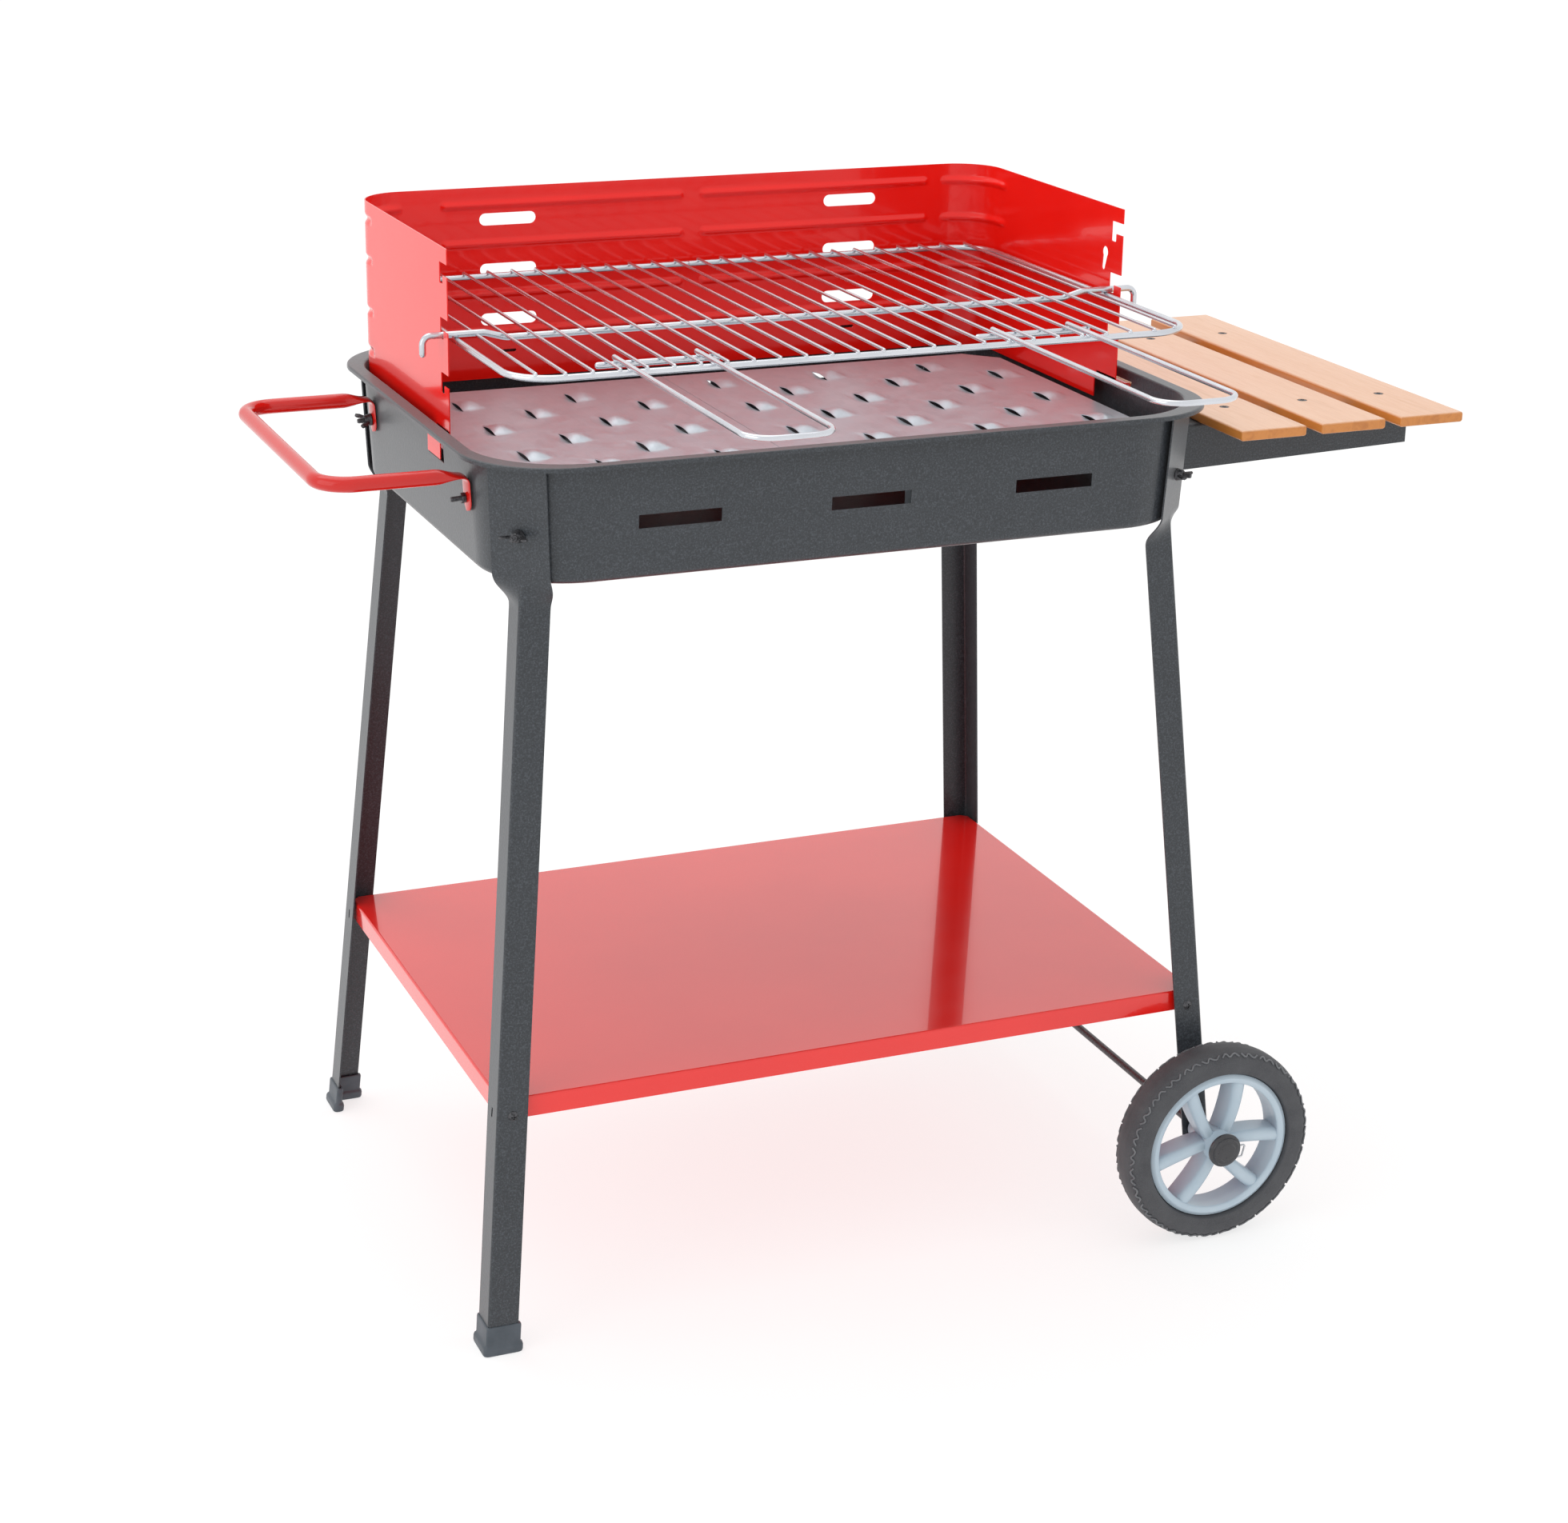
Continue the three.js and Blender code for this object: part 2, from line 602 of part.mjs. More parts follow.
// A strip folded to an L below the tray and left flat where it is bolted on.
function buildLeg(corner, low) {
  const rings = [
    [low, 45], [400, 45], [690, 45], [702, 24], [711, 6], [716, 0], [leg.top, 0],
  ];
  const w = leg.flange;
  const t = leg.sheet;
  const strip = outline([[-w, 0], [-w, -t], [0, -t], [w, -t], [w, 0], [0, 0]]);
  const steps = rings.length - 1;
  const geometry = new THREE.ExtrudeGeometry(strip, { depth: steps, steps, bevelEnabled: false });
  const position = geometry.attributes.position;
  const along = new THREE.Vector3(corner.y, -corner.x, 0).multiplyScalar(Math.SQRT1_2);
  const out = new THREE.Vector3(corner.x, corner.y, 0).multiplyScalar(Math.SQRT1_2);
  const point = new THREE.Vector3();
  for (let i = 0; i < position.count; i += 1) {
    const [z, degrees] = rings[Math.round(position.getZ(i))];
    const fold = THREE.MathUtils.degToRad(degrees);
    const reach = Math.abs(position.getX(i));
    const side = Math.sign(position.getX(i));
    const inner = position.getY(i) < -t / 2;
    let a = reach * Math.cos(fold);
    let b = -reach * Math.sin(fold);
    if (inner && side === 0) b -= t / Math.cos(fold);
    if (inner && side !== 0) {
      a -= t * Math.sin(fold);
      b -= t * Math.cos(fold);
    }
    const [x, y] = creasePoint(corner.x, corner.y, z);
    point.set(x, y, z).addScaledVector(along, side * a).addScaledVector(out, b);
    position.setXYZ(i, point.x, point.y, point.z);
  }
  const tools = [];
  const hole = rod([0, 0, -8], [0, 0, 8], bolt.hole, bolt.segments);
  tools.push(moved(hole, cornerFrame(corner.x, corner.y, legBoltZ, wallRadius(legBoltZ))));
  const [, y] = creasePoint(corner.x, corner.y, shelfScrew.z);
  const screwX = corner.x * shelfScrew.x;
  tools.push(rod([screwX, y - 6, shelfScrew.z], [screwX, y + 6, shelfScrew.z], bolt.hole, bolt.segments));
  const [sideX] = creasePoint(corner.x, corner.y, shelfScrew.z);
  const slotY = y - corner.y * 15;
  tools.push(box(sideX - 6, sideX + 6, slotY - 1.5, slotY + 1.5, shelfScrew.z - 5, shelfScrew.z + 4));
  if (corner.x > 0) {
    const [, axleY] = creasePoint(corner.x, corner.y, wheel.radius);
    const from = [wheel.axleX, axleY - 6, wheel.radius];
    const to = [wheel.axleX, axleY + 6, wheel.radius];
    tools.push(rod(from, to, axle.radius + GAP + 0.1, 16));
  }
  return cut(solid(geometry), tools);
}

for (const corner of corners) {
  addPiece(`leg_${corner.name}`, buildLeg(corner, corner.x < 0 ? leg.endLeft : leg.endRight), paint.charcoal);
}

// Plastic boots on the two legs without a wheel: an L-shaped socket with a flared base.
function lOutline(corner, grow, reach, thickness) {
  const u = corner.x;
  const v = corner.y;
  const a = grow;
  const b = -reach;
  const c = grow - thickness;
  return [
    [u * a, v * a], [u * b, v * a], [u * b, v * c], [u * c, v * c], [u * c, v * b], [u * a, v * b],
  ];
}

function buildFoot(corner) {
  const lift = (geometry) => {
    const position = geometry.attributes.position;
    for (let i = 0; i < position.count; i += 1) {
      const [x, y] = creasePoint(corner.x, corner.y, position.getZ(i));
      position.setXY(i, position.getX(i) + x, position.getY(i) + y);
    }
    return solid(geometry);
  };
  const { wall, flare, play } = boot;
  const socket = lift(prism(lOutline(corner, wall, leg.flange + wall, leg.sheet + 2 * wall), boot.height));
  const base = lift(prism(lOutline(corner, flare, leg.flange + flare, leg.sheet + 2 * flare), boot.baseHeight));
  const hollow = prism(lOutline(corner, play, leg.flange + play, leg.sheet + 2 * play), boot.height);
  const room = lift(hollow.translate(0, 0, leg.endLeft - GAP));
  return cut(socket.add(base), [room]);
}
for (const corner of corners.filter((c) => c.x < 0)) {
  addPiece(`foot_boot_${corner.name}`, buildFoot(corner), paint.footGrey);
}

// ------------------------------------------------------------- bolts and nuts
function panBolt(length) {
  const h = bolt.headHeight;
  return solid(turned([
    [0, -h], [bolt.head * 0.6, -h], [bolt.head, -h * 0.4], [bolt.head, 0],
    [bolt.shank, 0], [bolt.shank, length], [0, length],
  ], bolt.segments));
}

function crossHead(body) {
  const h = bolt.headHeight;
  return cut(body, [
    box(-0.7, 0.7, -2.6, 2.6, -h - 1, -h + 1.6), box(-2.6, 2.6, -0.7, 0.7, -h - 1, -h + 1.6),
  ]);
}

function wingNut() {
  const bore = bolt.shank + GAP;
  const body = solid(turned([[bore, 0], [6, 0], [4.6, 7], [bore, 7], [bore, 0]], bolt.segments));
  const wing = prism([[3.6, 1], [7, 2], [13, 7.5], [12.6, 12], [10, 12.6], [4.4, 6.5]], 2)
    .rotateX(Math.PI / 2).translate(0, 1, 0);
  const other = wing.clone().rotateZ(Math.PI);
  return body.add(solid(wing)).add(solid(other));
}

function hexNut() {
  const bore = rod([0, 0, -1], [0, 0, 5], bolt.shank + GAP, bolt.segments);
  return cut(solid(prism(circlePoints(4.8, 6), 4)), [bore]);
}

for (const corner of corners) {
  const wall = wallRadius(legBoltZ);
  const head = cornerFrame(corner.x, corner.y, legBoltZ, wall - tray.sheet - 0.9);
  addPiece(`leg_bolt_${corner.name}`, moved(panBolt(19), head), paint.black);
  const outer = cornerFrame(corner.x, corner.y, legBoltZ, wall + GAP + leg.sheet + 1);
  addPiece(`wing_nut_${corner.name}`, moved(wingNut(), outer), paint.black);
}

// ----------------------------------------------------------------- lower shelf
function buildShelf() {
  const { halfX, halfY, chamfer, sheet, top, lip } = shelf;
  const plan = (inset) => {
    const x = halfX - inset;
    const y = halfY - inset;
    const c = chamfer - inset * 0.586;
    return [
      [x, -y + c], [x, y - c], [x - c, y], [-x + c, y], [-x, y - c], [-x, -y + c], [-x + c, -y], [x - c, -y],
    ];
  };
  const lips = new THREE.ExtrudeGeometry(outline(plan(1.2)), {
    depth: lip - 1.2, bevelEnabled: true, bevelThickness: 1.2, bevelSize: 1.2, bevelSegments: 2,
  });
  const trim = box(-halfX, halfX, -halfY, halfY, top - lip, top);
  const outside = solid(lips.translate(0, 0, top - lip)).intersect(trim);
  const inside = solid(prism(plan(sheet), lip).translate(0, 0, top - lip - sheet));
  const tools = [inside];
  for (const corner of corners) {
    const x = corner.x * shelfScrew.x;
    const from = [x, corner.y * (halfY - 8), shelfScrew.z];
    const to = [x, corner.y * (halfY + 8), shelfScrew.z];
    tools.push(rod(from, to, bolt.hole, bolt.segments));
  }
  return cut(outside, tools);
}
addPiece('lower_shelf', buildShelf(), paint.red);

for (const corner of corners) {
  const [, y] = creasePoint(corner.x, corner.y, shelfScrew.z);
  const seat = frameAt([corner.x * shelfScrew.x, y + corner.y * 0.6, shelfScrew.z], [0, -corner.y, 0]);
  addPiece(`shelf_screw_${corner.name}`, moved(crossHead(panBolt(16)), seat), paint.black);
}

// ------------------------------------------------------------ axle and wheels
const cotterY = 326.9;
function buildAxle() {
  const front = [wheel.axleX, -axle.end, wheel.radius];
  const rear = [wheel.axleX, axle.end, wheel.radius];
  const bar = rod(front, rear, axle.radius, 16);
  const holes = [-1, 1].map((side) => rod(
    [wheel.axleX - 8, side * cotterY, wheel.radius], [wheel.axleX + 8, side * cotterY, wheel.radius], 1.15, 8,
  ));
  return cut(bar, holes);
}
addPiece('axle', buildAxle(), paint.black);

// Wheel pieces are turned about Y at the origin with +Y towards the middle of the barbecue.
function placeWheel(body, side) {
  const turn = new THREE.Matrix4().makeRotationZ(side < 0 ? 0 : Math.PI);
  turn.setPosition(wheel.axleX, side * wheel.centreY, wheel.radius);
  return moved(body, turn);
}

function ringAboutY(profile, segments) {
  const points = profile.map(([r, y]) => new THREE.Vector2(r, y));
  points.push(points[0].clone());
  return solid(new THREE.LatheGeometry(points, segments));
}

function buildTyre() {
  const r = wheel.radius;
  return ringAboutY([
    [wheel.rimOuter + GAP, -14], [78, -17], [88, -19], [95, -17], [99, -11], [r, -4],
    [r, 4], [99, 11], [95, 17], [88, 19], [78, 17], [wheel.rimOuter + GAP, 14],
  ], wheel.segments);
}

// One curved spoke, in the XZ plane, from the hub outwards.
function buildSpoke(rootAngle, endAngle) {
  const from = THREE.MathUtils.degToRad(rootAngle);
  const to = THREE.MathUtils.degToRad(endAngle);
  const middle = from + (to - from) * 0.35;
  const curve = new THREE.QuadraticBezierCurve(
    new THREE.Vector2(9 * Math.cos(from), 9 * Math.sin(from)),
    new THREE.Vector2(34 * Math.cos(middle), 34 * Math.sin(middle)),
    new THREE.Vector2(69 * Math.cos(to), 69 * Math.sin(to)),
  );
  const steps = 4;
  const left = [];
  const right = [];
  for (let i = 0; i <= steps; i += 1) {
    const p = curve.getPoint(i / steps);
    const d = curve.getTangent(i / steps);
    const half = 4.2 + 1.6 * (i / steps);
    left.push([p.x - d.y * half, p.y + d.x * half]);
    right.push([p.x + d.y * half, p.y - d.x * half]);
  }
  const band = new THREE.ExtrudeGeometry(outline([...left, ...right.reverse()]), {
    depth: 14, bevelEnabled: true, bevelThickness: 2.6, bevelSize: 1.8, bevelSegments: 1,
  });
  return solid(band.rotateX(Math.PI / 2).translate(0, 4, 0));
}

function buildHub() {
  const outer = wheel.rimOuter;
  const hole = axle.radius + GAP;
  const rimRing = ringAboutY([
    [outer, -13.6], [outer, 13.6], [outer - 4, 16], [wheel.rimInner, 14], [wheel.rimInner + 2, 0],
    [wheel.rimInner, -14], [outer - 4, -16],
  ], wheel.segments);
  const boss = ringAboutY([
    [hole, -19], [wheel.hubRadius, -19], [wheel.hubRadius + 3, -12],
    [wheel.hubRadius, 12], [10, 30], [hole, 30],
  ], 20);
  const spokes = [];
  for (const middle of [95, 215, 335]) {
    spokes.push(buildSpoke(middle - 42, middle - 23));
    spokes.push(buildSpoke(middle + 42, middle + 23));
  }
  const bore = rod([0, -40, 0], [0, 40, 0], hole, 20);
  return cut(union([rimRing, boss, ...spokes]), [bore]);
}

function buildHubCap() {
  const h = axle.radius + GAP;
  const end = axle.end + GAP;
  return turnedAboutAxle([
    [h, 329], [16.5, 329], [17, 330.5], [17, 332.4], [14.6, 333.4], [14, 335],
    [9.5, 336], [8.5, 337.2], [0, 337.6], [0, end], [h, end], [h, 329],
  ]);
}

function turnedAboutAxle(profile) {
  return solid(new THREE.LatheGeometry(profile.map(([r, y]) => new THREE.Vector2(r, -y)), 20));
}

function buildCotter() {
  return solid(wire([[-9, 0, 0], [23, 0, 0], [21, 0, -9], [9, 0, -9]], 1.6, 0.8, 6, 2));
}

for (const [name, side] of [['front', -1], ['rear', 1]]) {
  addPiece(`wheel_tyre_${name}`, placeWheel(buildTyre(), side), paint.rubber);
  addPiece(`wheel_hub_${name}`, placeWheel(buildHub(), side), paint.hubGrey);
  const fixed = new THREE.Matrix4().makeRotationZ(side < 0 ? 0 : Math.PI);
  fixed.setPosition(wheel.axleX, 0, wheel.radius);
  addPiece(`hub_cap_${name}`, moved(buildHubCap(), fixed), paint.black);
  const pin = new THREE.Matrix4().makeTranslation(wheel.axleX, side * cotterY, wheel.radius);
  addPiece(`cotter_clip_${name}`, moved(buildCotter(), pin), paint.zinc);
}

// -------------------------------------------------------------- carrying handle
// A frame standing on the sloping left wall: Z points out of the wall, X runs up it.
function leftWallFrame(y, z, distance) {
  const tilt = Math.atan2(tray.taper, tray.depth);
  const out = new THREE.Vector3(-Math.cos(tilt), 0, -Math.sin(tilt));
  const up = new THREE.Vector3(-Math.sin(tilt), 0, Math.cos(tilt));
  const across = new THREE.Vector3().crossVectors(out, up);
  const origin = new THREE.Vector3(-wallHalfX(z), y, z).addScaledVector(out, distance);
  return new THREE.Matrix4().makeBasis(up, across, out).setPosition(origin);
}

const tabLift = 0.5; // between the wall and the back of the pressed tab

function buildHandle() {
  const h = handle;
  const tabOut = tabLift + h.flat / 2;
  const half = (y) => {
    const low = new THREE.Vector3().setFromMatrixPosition(leftWallFrame(y, h.tabLow, tabOut)).toArray();
    const high = new THREE.Vector3().setFromMatrixPosition(leftWallFrame(y, h.armZ, tabOut)).toArray();
    return [low, high, [high[0] - h.neck, y, high[2]], [-h.outerX, y, high[2]]];
  };
  const path = new BentPath(
    [...half(h.centreY - h.halfY), ...half(h.centreY + h.halfY).reverse()],
    [h.rootBend, 0, h.cornerRadius, h.cornerRadius, 0, h.rootBend], 5,
  );
  const tube = sweep(path, circlePoints(h.radius, 12));
  pressEnds(tube, path);
  const holes = handleBoltY.map((y) => moved(
    rod([0, 0, -8], [0, 0, 14], bolt.hole, bolt.segments), leftWallFrame(y, handleBoltZ, 0),
  ));
  return cut(solid(tube), holes);
}

// The tube's ends are pressed flat: thin across the wall's normal, wide along Y.
function pressEnds(geometry, path) {
  const position = geometry.attributes.position;
  const point = new THREE.Vector3();
  const offset = new THREE.Vector3();
  const side = new THREE.Vector3(0, 1, 0);
  const thin = handle.flat / (2 * handle.radius);
  const wide = handle.flatWidth / (2 * handle.radius);
  for (let i = 0; i < position.count; i += 1) {
    point.fromBufferAttribute(position, i);
    let station = 0;
    let best = Infinity;
    path.points.forEach((centre, k) => {
      offset.subVectors(point, centre);
      const error = Math.abs(offset.dot(path.tangents[k])) + Math.abs(offset.length() - handle.radius);
      if (error < best) {
        best = error;
        station = k;
      }
    });
    const centre = path.points[station];
    const fromWall = -centre.x - wallHalfX(centre.z);
    if (fromWall > handle.neck - 1) continue;
    offset.subVectors(point, centre);
    const normal = new THREE.Vector3().crossVectors(path.tangents[station], side);
    point.copy(centre)
      .addScaledVector(normal, offset.dot(normal) * thin)
      .addScaledVector(side, offset.dot(side) * wide);
    position.setXYZ(i, point.x, point.y, point.z);
  }
}
addPiece('carry_handle', buildHandle(), paint.red);

['front', 'rear'].forEach((name, i) => {
  const y = handleBoltY[i];
  const inside = leftWallFrame(y, handleBoltZ, -tray.sheet - 0.4);
  addPiece(`handle_bolt_${name}`, moved(panBolt(19), inside), paint.black);
  const outside = leftWallFrame(y, handleBoltZ, tabLift + handle.flat + GAP);
  const nut = i === 0 ? hexNut() : wingNut().rotate([0, 0, 75]);
  addPiece(`handle_nut_${name}`, moved(nut, outside), paint.black);
});

// ------------------------------------------------------------ wooden side shelf
const boardX = [0, 1, 2].map((i) => board.firstX + i * board.pitch);

function buildBoard(x) {
  const profile = roundedRectangle(board.width / 2, board.thick / 2, board.round, 2);
  const timber = solid(barAlongY(profile, -board.halfLength, board.halfLength))
    .translate([x, 0, board.low + board.thick / 2]);
  const holes = [-1, 1].map((side) => moved(
    solid(turned([[0, -14], [2.4, -14], [2.4, -3.4], [4.9, -0.4], [4.9, 3], [0, 3]], bolt.segments)),
    new THREE.Matrix4().makeTranslation(x, side * bracket.screwY, board.low + board.thick),
  ));
  return cut(timber, holes);
}

function buildBracket(side) {
  const { rootX, endX, rootLow, endLow, sheet, flange, y } = bracket;
  const top = board.low - GAP;
  const web = solid(barAlongY([[rootX, rootLow], [endX, endLow], [endX, top], [rootX, top]], -y, -y + sheet));
  const shelfFlange = box(rootX, endX, -y, -y + flange, top - sheet, top);
  const rootFlange = box(rootX, rootX + sheet, -y, -y + flange, rootLow, top);
  const tools = boardX.map(
    (x) => rod([x, -bracket.screwY, top - 8], [x, -bracket.screwY, top + 4], 2.4, bolt.segments),
  );
  for (const z of bracketBoltZ) {
    const y = -bracket.screwY;
    tools.push(rod([rootX - 6, y, z], [rootX + 6, y, z], bolt.hole, bolt.segments));
  }
  const body = cut(web.add(shelfFlange).add(rootFlange), tools);
  return side < 0 ? body : body.mirror([0, 1, 0]);
}

for (const [name, side] of [['front', -1], ['rear', 1]]) {
  addPiece(`side_bracket_${name}`, buildBracket(side), paint.charcoal);
  bracketBoltZ.forEach((z, i) => {
    const inside = wallHalfX(z) - tray.sheet - 0.8;
    const seat = frameAt([inside, side * bracket.screwY, z], [1, 0, 0]);
    const label = i === 0 ? 'lower' : 'upper';
    addPiece(`bracket_bolt_${label}_${name}`, moved(panBolt(17), seat), paint.black);
  });
}

boardX.forEach((x, i) => {
  addPiece(`side_board_${i + 1}`, buildBoard(x), paint.pine);
  for (const [name, side] of [['front', -1], ['rear', 1]]) {
    const screw = solid(turned([
      [0, -11.5], [2, -11.5], [2, -3.2], [4.5, -0.5], [4.5, 0.2], [0, 0.2],
    ], bolt.segments));
    const cross = [box(-0.7, 0.7, -2.4, 2.4, -1.2, 1), box(-2.4, 2.4, -0.7, 0.7, -1.2, 1)];
    const seat = new THREE.Matrix4().makeTranslation(x, side * bracket.screwY, board.low + board.thick);
    addPiece(`board_screw_${i + 1}_${name}`, moved(cut(screw, cross), seat), paint.black);
  }
});

// The origin is on the floor, under the middle of the whole object.
const bounds = new THREE.Box3().setFromObject(model);
const middle = bounds.getCenter(new THREE.Vector3());
for (const mesh of model.children) mesh.position.set(-middle.x, -middle.y, -bounds.min.z);

export default model;
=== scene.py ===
import json
import math

import bmesh
import bpy
import numpy as np
from mathutils import Matrix, Vector


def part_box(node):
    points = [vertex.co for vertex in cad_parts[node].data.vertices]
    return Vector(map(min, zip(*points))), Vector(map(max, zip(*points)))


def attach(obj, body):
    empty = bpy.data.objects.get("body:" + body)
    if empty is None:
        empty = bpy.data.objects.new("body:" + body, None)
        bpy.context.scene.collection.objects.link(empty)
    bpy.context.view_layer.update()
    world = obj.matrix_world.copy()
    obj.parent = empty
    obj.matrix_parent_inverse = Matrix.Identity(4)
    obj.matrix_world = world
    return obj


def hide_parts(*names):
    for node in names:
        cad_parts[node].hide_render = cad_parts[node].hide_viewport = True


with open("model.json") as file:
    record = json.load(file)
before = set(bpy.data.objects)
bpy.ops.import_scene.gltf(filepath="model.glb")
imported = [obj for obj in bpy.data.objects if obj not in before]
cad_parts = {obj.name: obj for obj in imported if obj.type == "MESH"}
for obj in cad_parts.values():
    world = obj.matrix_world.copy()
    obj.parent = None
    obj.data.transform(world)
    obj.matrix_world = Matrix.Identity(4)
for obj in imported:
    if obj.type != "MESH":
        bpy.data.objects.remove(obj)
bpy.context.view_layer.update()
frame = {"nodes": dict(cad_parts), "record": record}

# Pieces are drawn in millimetres around the middle of the fire tray, with the floor at z = 0.
MM = 0.001
tray_low, tray_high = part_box("brazier_tray")
ORIGIN = Vector(((tray_low[0] + tray_high[0]) / 2, (tray_low[1] + tray_high[1]) / 2, 0))
STAND, GRID = "stand", "grid"


# ------------------------------------------------------------------ shape kit
class Shape:
    """Vertices in millimetres and faces, gathered before they become one mesh."""

    def __init__(self):
        self.verts = []
        self.faces = []

    def add(self, verts, faces, matrix=None):
        start = len(self.verts)
        points = [Vector(v) for v in verts]
        self.verts += [matrix @ v for v in points] if matrix else points
        flip = matrix is not None and matrix.determinant() < 0
        for face in faces:
            moved = [start + i for i in face]
            self.faces.append(moved[::-1] if flip else moved)
        return self

    def join(self, other, matrix=None):
        return self.add(other.verts, other.faces, matrix)


def strip_faces(rows, columns, close_rows=False, close_columns=False):
    """Quads between rows of points, each row holding the same number of columns."""
    faces = []
    for i in range(rows if close_rows else rows - 1):
        for j in range(columns if close_columns else columns - 1):
            a = i * columns + j
            b = i * columns + (j + 1) % columns
            c = ((i + 1) % rows) * columns + (j + 1) % columns
            d = ((i + 1) % rows) * columns + j
            faces.append((a, b, c, d))
    return faces


def loft(rings, cap_start=True, cap_end=True, close_rows=False):
    """Closed rings of points joined one to the next."""
    count = len(rings[0])
    shape = Shape()
    faces = strip_faces(len(rings), count, close_rows, True)
    if cap_start and not close_rows:
        faces.append(tuple(range(count))[::-1])
    if cap_end and not close_rows:
        faces.append(tuple((len(rings) - 1) * count + i for i in range(count)))
    return shape.add([p for ring in rings for p in ring], faces)


def circle(radius, sides, phase=0.0):
    return [
        (radius * math.cos(phase + math.tau * i / sides), radius * math.sin(phase + math.tau * i / sides))
        for i in range(sides)
    ]


def arc(cx, cy, radius, start, end, steps):
    return [
        (
            cx + radius * math.cos(math.radians(start + (end - start) * i / steps)),
            cy + radius * math.sin(math.radians(start + (end - start) * i / steps)),
        )
        for i in range(steps + 1)
    ]


class Path:
    """A bent centre line: straight runs with an arc at each inner corner."""

    def __init__(self, corners, radii, step=9.0):
        nodes = [Vector(c) for c in corners]
        self.points = [nodes[0]]
        self.tangents = [(nodes[1] - nodes[0]).normalized()]
        for i in range(1, len(nodes) - 1):
            before = (nodes[i] - nodes[i - 1]).normalized()
            after = (nodes[i + 1] - nodes[i]).normalized()
            radius = radii[i - 1] if isinstance(radii, (list, tuple)) else radii
            angle = before.angle(after)
            if radius == 0 or angle < 1e-4:
                self.points.append(nodes[i])
                self.tangents.append((before + after).normalized())
                continue
            inward = (after - before * after.dot(before)).normalized()
            start = nodes[i] - before * radius * math.tan(angle / 2)
            steps = max(2, round(math.degrees(angle) / step))
            for k in range(steps + 1):
                turn = angle * k / steps
                self.points.append(
                    start + before * radius * math.sin(turn) + inward * radius * (1 - math.cos(turn))
                )
                self.tangents.append(before * math.cos(turn) + inward * math.sin(turn))
        self.points.append(nodes[-1])
        self.tangents.append((nodes[-1] - nodes[-2]).normalized())

    def insert(self, index, distance):
        """One more station on the straight run that starts at that station."""
        self.points.insert(index + 1, self.points[index] + self.tangents[index] * distance)
        self.tangents.insert(index + 1, self.tangents[index].copy())


def frames(path, first_normal=None):
    """A pair of cross directions at each station, carried along without twist."""
    tangent = path.tangents[0]
    normal = Vector(first_normal) if first_normal else tangent.orthogonal()
    normal = (normal - tangent * normal.dot(tangent)).normalized()
    result = []
    for i, tangent in enumerate(path.tangents):
        if i:
            turn = path.tangents[i - 1].rotation_difference(tangent)
            normal = turn @ normal
            normal = (normal - tangent * normal.dot(tangent)).normalized()
        result.append((normal.copy(), tangent.cross(normal)))
    return result


def tube(path, radius, sides=16, normal=None, scale=None, round_ends=True):
    """A round bar along a path. scale(i) gives the two cross factors at a station."""
    rings = []
    section = circle(radius, sides)
    axes = frames(path, normal)
    last = len(path.points) - 1

    def ring(i, along, shrink):
        a, b = axes[i]
        wide, thin = scale(i) if scale else (1, 1)
        centre = path.points[i] + path.tangents[i] * along
        return [centre + a * (u * wide * shrink) + b * (v * thin * shrink) for u, v in section]

    ends = [(0.0, 1.0)]
    if round_ends:
        ends = [(radius * (1 - math.cos(t)), math.sin(t)) for t in (0.25, 0.6, 1.0, math.pi / 2)]
    rings += [ring(0, along, shrink) for along, shrink in ends]
    rings += [ring(i, 0, 1) for i in range(1, last)]
    rings += [ring(last, -along, shrink) for along, shrink in reversed(ends)]
    return loft(rings)


def wire(corners, radii, radius, sides=14, step=9.0):
    return tube(Path(corners, radii, step), radius, sides)


def lathe(profile, segments=48, closed=False):
    """Profile points are (radius, height); the axis is Z. An open profile is capped."""
    rings = [[(x, y, height) for x, y in circle(radius, segments)] for radius, height in profile]
    return loft(rings, not closed, not closed, close_rows=closed)


def slab(outline, low, high):
    """An outline in XY, filled from one height to another."""
    return loft([[(x, y, low) for x, y in outline], [(x, y, high) for x, y in outline]])


def block(x0, x1, y0, y1, z0, z1):
    return slab([(x0, y0), (x1, y0), (x1, y1), (x0, y1)], z0, z1)


def rounded_rectangle(half_x, half_y, radius, steps=5):
    x, y = half_x - radius, half_y - radius
    return (
        arc(x, y, radius, 0, 90, steps) + arc(-x, y, radius, 90, 180, steps)
        + arc(-x, -y, radius, 180, 270, steps) + arc(x, -y, radius, 270, 360, steps)
    )


def offset_line(points, distance):
    """A 2D line moved sideways by a distance, with mitred corners."""
    result = []
    for i, (x, y) in enumerate(points):
        ahead = Vector(points[min(i + 1, len(points) - 1)]) - Vector(points[i])
        behind = Vector(points[i]) - Vector(points[max(i - 1, 0)])
        if i == 0:
            behind = ahead
        if i == len(points) - 1:
            ahead = behind
        n0 = Vector((behind.y, -behind.x)).normalized()
        n1 = Vector((ahead.y, -ahead.x)).normalized()
        bisector = (n0 + n1).normalized()
        reach = distance / max(0.3, bisector.dot(n0))
        result.append((x + bisector.x * reach, y + bisector.y * reach))
    return result


def bent_line(corners, radii, step=12.0):
    """A 2D line with rounded corners."""
    path = Path([(x, y, 0) for x, y in corners], radii, step)
    return [(p.x, p.y) for p in path.points]


def sheet_section(corners, radii, thickness, step=12.0):
    """The closed outline of a bent sheet whose middle line is given."""
    line = bent_line(corners, radii, step)
    return offset_line(line, thickness / 2) + offset_line(line, -thickness / 2)[::-1]


